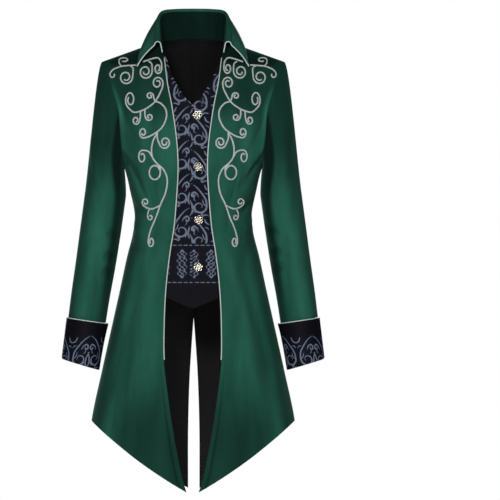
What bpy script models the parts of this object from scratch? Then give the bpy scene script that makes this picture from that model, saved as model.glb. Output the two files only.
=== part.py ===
# Long tailcoat with a false waistcoat, a turned collar and turned-back cuffs, held out as if worn.
# Metres, +Z up, the front faces -Y. The origin is at the base of the neck, under the shoulder seams.

import math
from collections import namedtuple

import bmesh
import bpy
from mathutils import Vector
from mathutils.bvhtree import BVHTree

# Cloth and seams
COAT_WALL = 0.0020
LINING_WALL = 0.0010
LINING_GAP = 0.0008
LINING_INSET = 0.25
VEST_WALL = 0.0015
COLLAR_WALL = 0.0020
CUFF_WALL = 0.0020
SEAM_GAP = 0.0003
SLEEVE_SEAM_GAP = 0.00045
PIPING_RADIUS = 0.0016

# Shoulders and armholes
SHOULDER_X = 0.205
SHOULDER_Z = -0.031
SHOULDER_SLOPE = 0.36
NECK_X = 0.070
NAPE_X = 0.045
ARMPIT_Z = -0.270
YOKE_ROUNDNESS = 2.4
SQUARENESS = 2 / 2.3
SIDE_SEAM = math.pi / 2
CENTRE_BACK = math.pi

# Hem, vent and front edges
HEM_SIDE_X = 0.227
HEM_SIDE_Z = -0.839
HEM_SLOPE = 0.90
HEM_HOLLOW = 0.80
NECK_FRONT_SHARE = 0.865
NECK_BACK_SHARE = 0.960
PIPING_END_Z = -0.704
PIPING_START = 0.35

# Waistcoat
VEST_OUTER_X = 0.095
VEST_TOP_SHARE = 0.935
VEST_CENTRE_Z = -0.585
VEST_SIDE_RISE = 0.40
VEST_LAP_X = 0.007
VEST_UNDERLAP_X = 0.020
VEST_EDGE_INSET = 0.0034
VEST_MIDDLE_INSET = 0.0070
VEST_LAP_STEP = 0.0021

# Buttons
BUTTON_RADIUS = 0.0105
BUTTON_SHANK_RADIUS = 0.0030
BUTTON_SHANK = 0.0012
BUTTON_HEIGHT = 0.0045
BUTTON_SIDES = 20
BUTTON_PETALS = 5
BUTTON_SCALLOP = 0.10

# Collar
COLLAR_BELLY = 0.004
COLLAR_SEAM_LIFT = 0.0007

# Cuffs
CUFF_BOTTOM_Z = -0.714
CUFF_TOP_Z = -0.617
SLEEVE_END_Z = -0.702
CUFF_SLIT = math.radians(315)
CUFF_SLIT_HALF = 0.0012
CUFF_CORNER_LIFT = 0.018
CUFF_CORNER_SPREAD = math.radians(30)
CUFF_SLACK = 0.0006
CUFF_FLARE = 0.0012
CUFF_EAR = 0.0035

Section = namedtuple("Section", "z half_width front back")
SECTIONS = (
    Section(-1.000, 0.245, 0.160, 0.165),
    Section(-0.839, 0.229, 0.152, 0.156),
    Section(-0.720, 0.204, 0.141, 0.144),
    Section(-0.612, 0.180, 0.130, 0.131),
    Section(-0.540, 0.164, 0.122, 0.121),
    Section(-0.468, 0.1485, 0.113, 0.106),
    Section(-0.414, 0.135, 0.106, 0.092),
    Section(-0.378, 0.1315, 0.103, 0.087),
    Section(-0.324, 0.1415, 0.110, 0.094),
    Section(-0.270, 0.1550, 0.118, 0.105),
    Section(-0.220, 0.179, 0.120, 0.114),
    Section(-0.160, 0.195, 0.118, 0.119),
    Section(-0.090, 0.206, 0.115, 0.117),
    Section(0.000, 0.215, 0.112, 0.106),
)

# Half the opening between the front edges
FrontEdge = namedtuple("FrontEdge", "z x")
FRONT_EDGE = (
    FrontEdge(-0.998, 0.0125),
    FrontEdge(-0.961, 0.0235),
    FrontEdge(-0.916, 0.0332),
    FrontEdge(-0.848, 0.0455),
    FrontEdge(-0.770, 0.0568),
    FrontEdge(-0.702, 0.0645),
    FrontEdge(-0.621, 0.0650),
    FrontEdge(-0.540, 0.0612),
    FrontEdge(-0.459, 0.0520),
    FrontEdge(-0.405, 0.0435),
    FrontEdge(-0.351, 0.0385),
    FrontEdge(-0.270, 0.0340),
    FrontEdge(-0.216, 0.0365),
    FrontEdge(-0.135, 0.0475),
    FrontEdge(-0.081, 0.0580),
    FrontEdge(-0.022, 0.0655),
    FrontEdge(0.018, NECK_X),
)

# Half the opening of the back vent
VentEdge = namedtuple("VentEdge", "z x")
VENT_EDGE = (
    VentEdge(-0.998, 0.0130),
    VentEdge(-0.860, 0.0128),
    VentEdge(-0.740, 0.0092),
    VentEdge(-0.680, 0.0055),
    VentEdge(-0.640, 0.0026),
    VentEdge(-0.606, 0.0),
)

# The armhole: where it crosses the body's turn at each share of the way up to the shoulder
Armhole = namedtuple("Armhole", "share front back")
ARMHOLE = (
    Armhole(0.00, 90.0, 90.0),
    Armhole(0.04, 78.0, 77.0),
    Armhole(0.10, 69.0, 68.0),
    Armhole(0.20, 62.0, 61.0),
    Armhole(0.35, 57.0, 57.0),
    Armhole(0.50, 55.0, 56.0),
    Armhole(0.65, 57.5, 58.0),
    Armhole(0.80, 62.0, 63.0),
    Armhole(0.90, 67.0, 67.0),
    Armhole(1.00, 71.2, 71.2),
)

# Sleeve rings down the arm: centre, half sizes and how far the ring tilts, outer side up
ArmRing = namedtuple("ArmRing", "z x y half_width half_depth tilt")
ARM_RINGS = (
    ArmRing(-0.720, 0.2535, -0.034, 0.0412, 0.0465, 13.5),
    ArmRing(-0.612, 0.2385, -0.018, 0.0428, 0.0500, 12.0),
    ArmRing(-0.558, 0.2310, -0.009, 0.0437, 0.0530, 11.0),
    ArmRing(-0.486, 0.2195, 0.001, 0.0452, 0.0570, 10.0),
    ArmRing(-0.414, 0.2090, 0.004, 0.0462, 0.0600, 9.0),
    ArmRing(-0.330, 0.1975, 0.003, 0.0465, 0.0640, 9.0),
)
BICEPS_Z = -0.330
SLEEVE_SEAM_SHARE = 0.35
SLEEVE_HEAD_REACH = 0.040
SLEEVE_END_PULL = 0.8

# Soft flutes of the skirt, by turn from centre front or centre back: positive stands out
Flute = namedtuple("Flute", "turn spread depth top_z")
FLUTES = (
    Flute(30.0, 8.0, 0.0055, -0.46),
    Flute(46.0, 8.0, -0.0050, -0.50),
    Flute(63.0, 8.0, 0.0050, -0.48),
    Flute(77.0, 6.0, -0.0035, -0.55),
)

# Half the waistcoat's neck opening
VestNeck = namedtuple("VestNeck", "z x")
VEST_NECK = (
    VestNeck(-0.135, 0.0),
    VestNeck(-0.122, 0.0150),
    VestNeck(-0.092, 0.0350),
    VestNeck(-0.058, 0.0510),
    VestNeck(-0.022, 0.0605),
    VestNeck(0.010, 0.0640),
)

ButtonPlace = namedtuple("ButtonPlace", "x z")
BUTTONS = (
    ButtonPlace(0.0105, -0.153),
    ButtonPlace(0.0120, -0.268),
    ButtonPlace(0.0130, -0.387),
    ButtonPlace(0.0120, -0.493),
)

# Collar stations from centre back to the front: the fold with its roll's radius, and the free edge
CollarFold = namedtuple("CollarFold", "along x y z roll")
COLLAR_FOLD = (
    CollarFold(0.00, 0.0000, 0.0500, 0.0905, 0.0035),
    CollarFold(0.22, 0.0400, 0.0450, 0.0895, 0.0035),
    CollarFold(0.42, 0.0690, 0.0265, 0.0850, 0.0035),
    CollarFold(0.55, 0.0775, 0.0080, 0.0740, 0.0040),
    CollarFold(0.70, 0.0795, -0.0160, 0.0560, 0.0050),
    CollarFold(0.85, 0.0795, -0.0410, 0.0340, 0.0065),
    CollarFold(1.00, 0.0790, -0.0630, 0.0140, 0.0080),
)
CollarEdge = namedtuple("CollarEdge", "along x y z")
COLLAR_EDGE = (
    CollarEdge(0.00, 0.0000, 0.0750, 0.0430),
    CollarEdge(0.22, 0.0480, 0.0675, 0.0370),
    CollarEdge(0.42, 0.0870, 0.0400, 0.0210),
    CollarEdge(0.60, 0.1090, 0.0040, 0.0140),
    CollarEdge(0.80, 0.1210, -0.0450, -0.0110),
    CollarEdge(1.00, 0.1255, -0.0680, -0.0410),
)

YOKE_SHARES = (1.0, 0.985, 0.94, 0.865, 0.77, 0.65, 0.50, 0.35, 0.20, 0.10, 0.04)
SKIRT_SHARES = (
    0.0, 0.04, 0.09, 0.15, 0.21, 0.28, 0.36, 0.44, 0.52, 0.60, 0.68, 0.76, 0.84, 0.92, 1.0
)
VEST_YOKE_SHARES = (VEST_TOP_SHARE, 0.865, 0.77, 0.65, 0.52, 0.38, 0.20)
VEST_BODY_SHARES = (0.0, 0.1, 0.2, 0.3, 0.4, 0.5, 0.65, 0.8, 1.0)
SLEEVE_HEAD_SHARES = (0.0, 0.07, 0.18, 0.34, 0.54, 0.76)
SLEEVE_LENGTHS = (-0.330, -0.390, -0.450, -0.510, -0.570, -0.630, SLEEVE_END_Z)
PANEL_COLUMNS = 10
VEST_COLUMNS = 6
CUFF_COLUMNS = 22
CUFF_ROWS = 4
NECK_COLUMNS = 3
STAND_ROWS = 3
ROLL_ROWS = 4
FALL_ROWS = 4
TIP_STEPS = 4
STEP = 1e-4
TURN_STEP = 0.12


def read(table, column, at):
    """A column of a table at one place along its first column, on a smooth curve through the rows."""
    places = [row[0] for row in table]
    values = [getattr(row, column) for row in table]
    at = min(max(at, places[0]), places[-1])
    k = max(i for i in range(len(places) - 1) if places[i] <= at)
    rises = [
        (values[i + 1] - values[i]) / (places[i + 1] - places[i]) for i in range(len(places) - 1)
    ]
    slopes = [rises[0]] + [(a + b) / 2 for a, b in zip(rises, rises[1:])] + [rises[-1]]
    span = places[k + 1] - places[k]
    t = (at - places[k]) / span
    return (
        values[k] * (2 * t**3 - 3 * t**2 + 1)
        + values[k + 1] * (3 * t**2 - 2 * t**3)
        + slopes[k] * span * (t**3 - 2 * t**2 + t)
        + slopes[k + 1] * span * (t**3 - t**2)
    )


def clear_scene():
    for thing in list(bpy.data.objects):
        bpy.data.objects.remove(thing)


def cloth_material(name, colour, roughness, metallic=0.0):
    material = bpy.data.materials.new(name)
    material.use_nodes = True
    shader = material.node_tree.nodes["Principled BSDF"]
    shader.inputs["Base Color"].default_value = (*colour, 1.0)
    shader.inputs["Roughness"].default_value = roughness
    shader.inputs["Metallic"].default_value = metallic
    return material


def put_in_scene(name, bm, material):
    bmesh.ops.recalc_face_normals(bm, faces=bm.faces)
    mesh = bpy.data.meshes.new(name)
    bm.to_mesh(mesh)
    bm.free()
    mesh.materials.append(material)
    mesh.shade_smooth()
    mesh.set_sharp_from_angle(angle=math.radians(45))
    obj = bpy.data.objects.new(name, mesh)
    bpy.context.scene.collection.objects.link(obj)
    return obj


def shell(name, outer, inner, material):
    """One closed wall between two grids of points."""
    bm = bmesh.new()
    faces = [[[bm.verts.new(p) for p in row] for row in grid] for grid in (outer, inner)]
    rows, columns = len(outer), len(outer[0])
    for grid in faces:
        for i in range(rows - 1):
            for j in range(columns - 1):
                ring = (grid[i][j], grid[i][j + 1], grid[i + 1][j + 1], grid[i + 1][j])
                bm.faces.new(ring)
    out, back = faces
    for i in (0, rows - 1):
        for j in range(columns - 1):
            bm.faces.new((out[i][j], back[i][j], back[i][j + 1], out[i][j + 1]))
    for j in (0, columns - 1):
        for i in range(rows - 1):
            bm.faces.new((out[i][j], out[i + 1][j], back[i + 1][j], back[i][j]))
    return put_in_scene(name, bm, material)


def tube(name, points, radius, material):
    """A round cord through the points, as a curve with filled ends."""
    curve = bpy.data.curves.new(name, "CURVE")
    curve.dimensions = "3D"
    spline = curve.splines.new("POLY")
    spline.points.add(len(points) - 1)
    for place, point in zip(spline.points, points):
        place.co = (*point, 1.0)
    curve.bevel_depth = radius
    curve.bevel_resolution = 1
    curve.use_fill_caps = True
    curve.materials.append(material)
    obj = bpy.data.objects.new(name, curve)
    bpy.context.scene.collection.objects.link(obj)
    return obj


def normal_of(surface, a, b):
    """The outward normal of a surface that runs from front to back in a, and from top to hem in b."""
    b = min(max(b, -1 + 2 * STEP), 1 - 2 * STEP)
    along = surface(a + STEP, b) - surface(a - STEP, b)
    down = surface(a, b + STEP) - surface(a, b - STEP)
    return down.cross(along).normalized()


def power(value):
    return math.copysign(abs(value) ** SQUARENESS, value)


def turn_at(x, half_width):
    """The turn round a section at which it is x from the centre."""
    share = min(abs(x) / half_width, 1.0)
    return math.copysign(math.asin(share ** (1 / SQUARENESS)), x)


def shoulder_line(x):
    """The height of the shoulder seam, rounded off over the nape."""
    out = abs(x)
    if out < NAPE_X:
        out = (x * x / NAPE_X + NAPE_X) / 2
    return SHOULDER_Z + SHOULDER_SLOPE * (SHOULDER_X - out)


def hem_line(x):
    inward = HEM_SIDE_X - abs(x)
    return HEM_SIDE_Z - HEM_SLOPE * inward + HEM_HOLLOW * inward**2


def flute_push(turn, z):
    """How far the skirt stands out of its plain section."""
    from_centre = math.degrees(min(abs(turn), CENTRE_BACK - abs(turn)))
    push = 0.0
    for flute in FLUTES:
        if z < flute.top_z:
            grown = (flute.top_z - z) / (flute.top_z - HEM_SIDE_Z)
            reach = (from_centre - flute.turn) / flute.spread
            push += flute.depth * min(grown, 1.3) * math.exp(-reach * reach)
    return push


def ring_point(turn, z):
    """The coat's outer surface below the armpit."""
    depth = read(SECTIONS, "front" if abs(turn) < SIDE_SEAM else "back", z)
    out = Vector((power(math.sin(turn)), -power(math.cos(turn)), 0.0))
    push = 1 + flute_push(turn, z) / depth
    half_width = read(SECTIONS, "half_width", z)
    return Vector((half_width * out.x, depth * out.y * push, z))


def yoke_point(turn, share):
    """The coat's outer surface above the armpit: share is 0 at the armpit and 1 on the shoulder seam."""
    level = ARMPIT_Z * (1 - share)
    depth = read(SECTIONS, "front" if abs(turn) < SIDE_SEAM else "back", level)
    x = read(SECTIONS, "half_width", level) * power(math.sin(turn))
    rounding = math.sqrt(max(1 - share**YOKE_ROUNDNESS, 0.0))
    z = ARMPIT_Z + (shoulder_line(x) - ARMPIT_Z) * share
    return Vector((x, -depth * power(math.cos(turn)) * rounding, z))


def hem_of(turn):
    z = HEM_SIDE_Z
    for _ in range(5):
        z = hem_line(read(SECTIONS, "half_width", z) * power(math.sin(turn)))
    return z


def coat_point(turn, drop):
    """The coat's outer surface: drop is -1 on the shoulder seam, 0 at the armpit and 1 on the hem."""
    if drop < 0:
        return yoke_point(turn, -drop)
    return ring_point(turn, ARMPIT_Z + drop * (hem_of(turn) - ARMPIT_Z))


def edge_turn(table, drop, start):
    """The turn at which a front edge or the vent crosses this drop, found by closing in on it."""
    turn = start
    for _ in range(8):
        point = coat_point(turn, drop)
        level = ARMPIT_Z * (1 + drop) if drop < 0 else point.z
        near = turn_at(read(table, "x", point.z), read(SECTIONS, "half_width", level))
        turn = near if start < SIDE_SEAM else CENTRE_BACK - near
    return turn


def armhole_turn(share, back):
    angle = math.radians(read(ARMHOLE, "back" if back else "front", share))
    return CENTRE_BACK - angle if back else angle


def neck_point_turn():
    """The turn, on the back, at which the shoulder seam meets the neckline."""
    return CENTRE_BACK - turn_at(NECK_X, read(SECTIONS, "half_width", 0.0))


def neck_back_share(turn):
    """How high the back reaches at this turn: the neckline near the centre, then the shoulder seam."""
    neck_turn = neck_point_turn()
    inward = min(max((turn - neck_turn) / (CENTRE_BACK - neck_turn), 0.0), 1.0)
    return 1 - (1 - NECK_BACK_SHARE) * math.sin(inward * math.pi / 2)


def spread_turns(first, last, columns):
    return [first + (last - first) * j / columns for j in range(columns + 1)]


def offset_grid(surface, places, side, shift, depths):
    """Grids of points at these depths under a surface, on one side of the coat, moved by shift."""
    grids = [[] for _ in depths]
    for row in places:
        made = [[] for _ in depths]
        for turn, drop in row:
            point, normal = surface(turn, drop), normal_of(surface, turn, drop)
            if drop == -1.0:
                normal.y = 0.0
            for line, depth in zip(made, depths):
                at = point - normal * depth + shift
                line.append(Vector((side * at.x, at.y, at.z)))
        for grid, line in zip(grids, made):
            grid.append(line)
    return grids


def front_places():
    rows = []
    for drop in [-share for share in YOKE_SHARES] + list(SKIRT_SHARES):
        inner = edge_turn(FRONT_EDGE, drop, 0.3)
        outer = armhole_turn(-drop, back=False) if drop < 0 else SIDE_SEAM
        rows.append([(turn, drop) for turn in spread_turns(inner, outer, PANEL_COLUMNS)])
    return rows


def back_turns(drop):
    """The back's columns, of which a few end on the neckline and the rest on the shoulder seam."""
    inner = CENTRE_BACK
    if drop > 0:
        inner = edge_turn(VENT_EDGE, drop, CENTRE_BACK)
    outer = armhole_turn(-drop, back=True) if drop < 0 else SIDE_SEAM
    neck = (CENTRE_BACK - neck_point_turn()) / (CENTRE_BACK - armhole_turn(1.0, back=True))
    split = inner + (outer - inner) * neck
    near = spread_turns(inner, split, NECK_COLUMNS)
    return near[:-1] + spread_turns(split, outer, PANEL_COLUMNS - NECK_COLUMNS)


def back_places():
    rows = []
    top = back_turns(-1.0)
    for share in YOKE_SHARES:
        turns = back_turns(-share)
        rows.append([(turn, -share * neck_back_share(at)) for turn, at in zip(turns, top)])
    for drop in SKIRT_SHARES:
        rows.append([(turn, drop) for turn in back_turns(drop)])
    return rows


def drawn_in(grid, share):
    """A grid drawn in along its own facets at the centre, top and hem, and by a column at the side."""
    grid = [[row[0].lerp(row[1], share), *row[1:-1]] for row in grid]
    top = [a.lerp(b, share) for a, b in zip(grid[0], grid[1])]
    bottom = [a.lerp(b, share) for a, b in zip(grid[-1], grid[-2])]
    return [top, *grid[1:-1], bottom]


def make_panels(side, velvet, lining, piping):
    word = "left" if side > 0 else "right"
    seam = SEAM_GAP / 2
    outer, inner = offset_grid(
        coat_point, front_places(), side, Vector((0, -seam, 0)), (0.0, COAT_WALL)
    )
    shell(f"front_{word}", outer, inner, velvet)
    make_front_piping(side, outer, inner, piping)
    under = COAT_WALL + LINING_GAP
    depths = (0.0, COAT_WALL, under, under + LINING_WALL)
    outer, inner, *lined = offset_grid(
        coat_point, back_places(), side, Vector((seam, seam, 0)), depths
    )
    shell(f"back_{word}", outer, inner, velvet)
    facing, backing = [drawn_in(grid, LINING_INSET) for grid in lined]
    shell(f"lining_back_{word}", facing, backing, lining)


def vest_hem(x):
    return VEST_CENTRE_Z + VEST_SIDE_RISE * abs(x)


def vest_point(turn, drop):
    """The coat's form over the waistcoat: drop is 1 on the waistcoat's own hem."""
    if drop < 0:
        return yoke_point(turn, -drop)
    x = read(SECTIONS, "half_width", VEST_CENTRE_Z) * power(math.sin(turn))
    return ring_point(turn, ARMPIT_Z + drop * (vest_hem(x) - ARMPIT_Z))


def vest_turn(x, drop):
    level = ARMPIT_Z * (1 + drop) if drop < 0 else vest_point(0.0, drop).z
    return turn_at(x, read(SECTIONS, "half_width", level))


def vest_inner_x(z, lap):
    """Where a waistcoat panel's inner edge runs: along the neck opening, then past the centre."""
    if z > VEST_NECK[0].z:
        return max(read(VEST_NECK, "x", z), -lap)
    return -lap


def make_vest(side, brocade):
    """The left panel laps over the right one. Under the coat each is sewn to its front."""
    word, lap = ("left", VEST_LAP_X) if side > 0 else ("right", VEST_UNDERLAP_X)
    step = 0.0 if side > 0 else VEST_LAP_STEP
    outer, inner = [], []
    for drop in [-share for share in VEST_YOKE_SHARES] + list(VEST_BODY_SHARES):
        z = vest_point(0.3, drop).z
        first = vest_turn(vest_inner_x(z, lap), drop)
        last = vest_turn(VEST_OUTER_X, drop)
        rows = ([], [])
        for turn in spread_turns(first, last, VEST_COLUMNS):
            point, normal = vest_point(turn, drop), normal_of(vest_point, turn, drop)
            covered = min(max(point.x / VEST_OUTER_X, 0.0), 1.0)
            middle = VEST_MIDDLE_INSET + step
            depth = middle + (VEST_EDGE_INSET - middle) * covered**2
            for line, inset in zip(rows, (depth, depth + VEST_WALL)):
                at = point - normal * inset
                line.append(Vector((side * at.x, at.y, at.z)))
        outer.append(rows[0])
        inner.append(rows[1])
    return shell(f"vest_{word}", outer, inner, brocade)


def arm_point(turn, z, grow=0.0):
    """The sleeve's surface round the arm: turn is 0 outside and a quarter turn in front."""
    half_width = read(ARM_RINGS, "half_width", z) + grow
    half_depth = read(ARM_RINGS, "half_depth", z) + grow
    tilt = math.radians(read(ARM_RINGS, "tilt", z))
    across = half_width * math.cos(turn)
    return Vector((
        read(ARM_RINGS, "x", z) + across * math.cos(tilt),
        read(ARM_RINGS, "y", z) - half_depth * math.sin(turn),
        z + across * math.sin(tilt),
    ))


def armhole_place(turn):
    """Where the sleeve's turn meets the armhole, as a turn and a drop of the coat."""
    share = (1 + math.cos(turn)) / 2
    back = math.sin(turn) < 0
    return armhole_turn(share, back), -share


def armhole_frame(turn):
    """The armhole's point, the coat's normal there, and the way out of the panel."""
    place = armhole_place(turn)
    point, normal = coat_point(*place), normal_of(coat_point, *place)
    ahead, behind = coat_point(*armhole_place(turn + 0.02)), coat_point(*armhole_place(turn - 0.02))
    outward = (ahead - behind).cross(normal).normalized()
    if outward.x + max(-math.cos(turn), 0.0) * outward.z < 0:
        outward.negate()
    return point, normal, outward


def underarm(turn):
    """0 over the shoulder and 1 under the arm, where the sleeve folds back on the body."""
    share = min(max((-math.cos(turn) - 0.1) / 0.75, 0.0), 1.0)
    return share * share * (3 - 2 * share)


def head_point(turn, share):
    """The sleeve's head, from the armhole to the ring at the biceps."""
    point, normal, outward = armhole_frame(turn)
    under = underarm(turn)
    start = point + (outward + normal * under) * SLEEVE_SEAM_GAP
    end = arm_point(turn, BICEPS_Z)
    way = arm_point(turn, BICEPS_Z - 0.01) - end
    reach = SLEEVE_HEAD_REACH * (1 + math.cos(turn)) / 2 * (1 - under)
    leave = outward * reach
    arrive = way.normalized() * SLEEVE_END_PULL * (end - start).length
    t = share
    return (
        start * (2 * t**3 - 3 * t**2 + 1)
        + end * (3 * t**2 - 2 * t**3)
        + leave * (t**3 - 2 * t**2 + t)
        + arrive * (t**3 - t**2)
    )


def sleeve_normal(surface, turn, along):
    round_it = surface(turn + TURN_STEP, along) - surface(turn - TURN_STEP, along)
    down = surface(turn, along + STEP) - surface(turn, along - STEP)
    return round_it.cross(down).normalized()


def sleeve_turns():
    """A turn for each row of the panels, so that their corners meet round the armhole."""
    front = [math.acos(2 * share - 1) for share in (*YOKE_SHARES, 0.0)]
    return front + [2 * math.pi - turn for turn in front[-2:0:-1]]


def narrowed(grid, gap):
    """A grid whose first and last columns are drawn in by this much along their own rows."""
    return [
        [
            row[0] + (row[1] - row[0]).normalized() * gap,
            *row[1:-1],
            row[-1] + (row[-2] - row[-1]).normalized() * gap,
        ]
        for row in grid
    ]


def make_sleeve(side, velvet):
    """A two-piece sleeve: its seams run down the front and the back of the arm, towards the body."""
    word = "left" if side > 0 else "right"
    turns = sleeve_turns()
    outer, inner = [], []
    for share in SLEEVE_HEAD_SHARES:
        line, under_line = [], []
        for turn in turns:
            point = head_point(turn, share)
            normal = sleeve_normal(head_point, turn, max(share, 0.02))
            if share == 0.0:
                _, coat_normal, _ = armhole_frame(turn)
                under = underarm(turn)
                normal = (coat_normal * (1 - under) + normal * under).normalized()
            line.append(point)
            under_line.append(point - normal * COAT_WALL)
        outer.append(line)
        inner.append(under_line)
    for z in SLEEVE_LENGTHS:
        outer.append([arm_point(turn, z) for turn in turns])
        inner.append([arm_point(turn, z, -COAT_WALL) for turn in turns])
    outer, inner = [
        [[Vector((side * p.x, p.y, p.z)) for p in row] for row in grid] for grid in (outer, inner)
    ]
    front_seam = YOKE_SHARES.index(SLEEVE_SEAM_SHARE)
    back_seam = len(turns) - front_seam
    for piece, first, last in (
        ("top", back_seam - len(turns), front_seam),
        ("under", front_seam, back_seam),
    ):
        walls = [
            narrowed([[row[k] for k in range(first, last + 1)] for row in grid], SEAM_GAP / 2)
            for grid in (outer, inner)
        ]
        shell(f"sleeve_{piece}_{word}", *walls, velvet)


def cuff_point(turn, height, depth=0.0):
    """The cuff's outer surface: height is 0 at its fold and 1 at its piped top."""
    away = abs((turn - CUFF_SLIT + math.pi) % (2 * math.pi) - math.pi)
    lift = CUFF_CORNER_LIFT * math.exp(-((away / CUFF_CORNER_SPREAD) ** 2))
    bottom = CUFF_BOTTOM_Z + lift
    z = bottom + (CUFF_TOP_Z - bottom) * height
    ear = CUFF_EAR * max(-math.cos(turn), 0.0) ** 6 * height**3
    grow = CUFF_SLACK + CUFF_WALL - depth + CUFF_FLARE * height + ear
    return arm_point(turn, z, grow)


def make_cuff(side, brocade, piping):
    word = "left" if side > 0 else "right"
    half = CUFF_SLIT_HALF / ARM_RINGS[1].half_width
    turns = spread_turns(CUFF_SLIT + half, CUFF_SLIT + 2 * math.pi - half, CUFF_COLUMNS)
    heights = [i / CUFF_ROWS for i in range(CUFF_ROWS + 1)]
    outer, inner = [
        [[cuff_point(turn, height, depth) for turn in turns] for height in heights]
        for depth in (0.0, CUFF_WALL)
    ]
    outer, inner = [
        [[Vector((side * p.x, p.y, p.z)) for p in row] for row in grid] for grid in (outer, inner)
    ]
    shell(f"cuff_{word}", outer, inner, brocade)
    above = Vector((0, 0, PIPING_RADIUS + SEAM_GAP))
    path = [cuff_point(turn, 1.0, CUFF_WALL / 2) + above for turn in turns]
    path = [Vector((side * p.x, p.y, p.z)) for p in path]
    tube(f"piping_cuff_{word}", path, PIPING_RADIUS, piping)


def neck_line():
    """The neckline from centre back to the front edge, through the corners of the panels."""
    line = [coat_point(turn, -neck_back_share(turn)) for turn in back_turns(-1.0)[:NECK_COLUMNS]]
    for share in YOKE_SHARES:
        if share >= NECK_FRONT_SHARE:
            line.append(coat_point(edge_turn(FRONT_EDGE, -share, 0.3), -share))
    halves = [[a, a.lerp(b, 0.5)] for a, b in zip(line, line[1:])]
    return [point for pair in halves for point in pair] + [line[-1]]


def collar_profile(seam, along):
    """One section of the collar: up the stand on its neck side, over the roll and down the fall."""
    roll = read(COLLAR_FOLD, "roll", along)
    fold = Vector([read(COLLAR_FOLD, axis, along) for axis in "xyz"])
    edge = Vector([read(COLLAR_EDGE, axis, along) for axis in "xyz"])
    outward = Vector((edge.x - seam.x, edge.y - seam.y, 0)).normalized()
    up = Vector((0, 0, 1))
    middle = fold - up * roll
    stand_top = middle - outward * roll
    points = [seam.lerp(stand_top, i / STAND_ROWS) for i in range(STAND_ROWS)]
    for i in range(ROLL_ROWS + 1):
        angle = math.pi * i / ROLL_ROWS
        points.append(middle + (up * math.sin(angle) - outward * math.cos(angle)) * roll)
    start = points[-1]
    for i in range(1, FALL_ROWS + 1):
        share = i / FALL_ROWS
        belly = outward * COLLAR_BELLY * math.sin(math.pi * share)
        points.append(start.lerp(edge, share) + belly)
    return points


def collar_rows():
    line = [point + Vector((0, 0, COLLAR_SEAM_LIFT)) for point in neck_line()]
    reach = [0.0]
    for a, b in zip(line, line[1:]):
        reach.append(reach[-1] + (b - a).length)
    half = [collar_profile(point, along / reach[-1]) for point, along in zip(line, reach)]
    mirrored = [[Vector((-p.x, p.y, p.z)) for p in row] for row in half[:0:-1]]
    return mirrored + half


def grid_normals(rows):
    """Normals of a grid of points, from each point's neighbours."""
    normals = []
    for i, row in enumerate(rows):
        before, after = rows[max(i - 1, 0)], rows[min(i + 1, len(rows) - 1)]
        line = []
        for j in range(len(row)):
            across = after[j] - before[j]
            along = row[min(j + 1, len(row) - 1)] - row[max(j - 1, 0)]
            line.append(across.cross(along).normalized())
        normals.append(line)
    return normals


def beside(edge, inward, under):
    """A cord's path just outside an edge, from its points, their neighbours and the other side."""
    away = PIPING_RADIUS + SEAM_GAP
    path = []
    for i, point in enumerate(edge):
        along = (edge[min(i + 1, len(edge) - 1)] - edge[max(i - 1, 0)]).normalized()
        out = point - inward[i]
        out = (out - along * out.dot(along)).normalized()
        path.append((point + under[i]) / 2 + out * away)
    return path


def round_tip(tip, start, end):
    """Points between two places of a cord, round the tip that both lie beside."""
    away = (start - tip).length
    ways = [(start - tip).lerp(end - tip, i / TIP_STEPS) for i in range(1, TIP_STEPS)]
    return [tip + way.normalized() * away for way in ways]


def make_collar(velvet, piping):
    rows = collar_rows()
    normals = grid_normals(rows)
    under = [
        [p - n * COLLAR_WALL for p, n in zip(row, line)] for row, line in zip(rows, normals)
    ]
    shell("collar", rows, under, velvet)
    first = beside(rows[0], rows[1], under[0])
    fall = beside([row[-1] for row in rows], [row[-2] for row in rows], [row[-1] for row in under])
    last = beside(rows[-1], rows[-2], under[-1])
    for end in (first, last):
        end[0] = end[0].lerp(end[1], PIPING_START)
    left_tip = (rows[0][-1] + under[0][-1]) / 2
    right_tip = (rows[-1][-1] + under[-1][-1]) / 2
    path = first + round_tip(left_tip, first[-1], fall[0]) + fall
    path += round_tip(right_tip, fall[-1], last[-1]) + last[::-1]
    tube("piping_collar", path, PIPING_RADIUS, piping)


def make_front_piping(side, outer, inner, piping):
    """A corded edge from the neck down to where the tails begin."""
    word = "left" if side > 0 else "right"
    path = beside([row[0] for row in outer], [row[1] for row in outer], [row[0] for row in inner])
    shown = [
        point for point, share in zip(path, YOKE_SHARES + SKIRT_SHARES)
        if point.z > PIPING_END_Z and not (share > NECK_FRONT_SHARE and point.z > ARMPIT_Z)
    ]
    tube(f"piping_front_{word}", shown, PIPING_RADIUS, piping)


def front_of(panel, x, z):
    """Where a panel is met from in front at this place, and which way it faces there."""
    mesh = panel.data
    points = [vertex.co for vertex in mesh.vertices]
    tree = BVHTree.FromPolygons(points, [face.vertices for face in mesh.polygons])
    point, normal, _, _ = tree.ray_cast(Vector((x, -1, z)), Vector((0, 1, 0)))
    return point, normal


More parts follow.
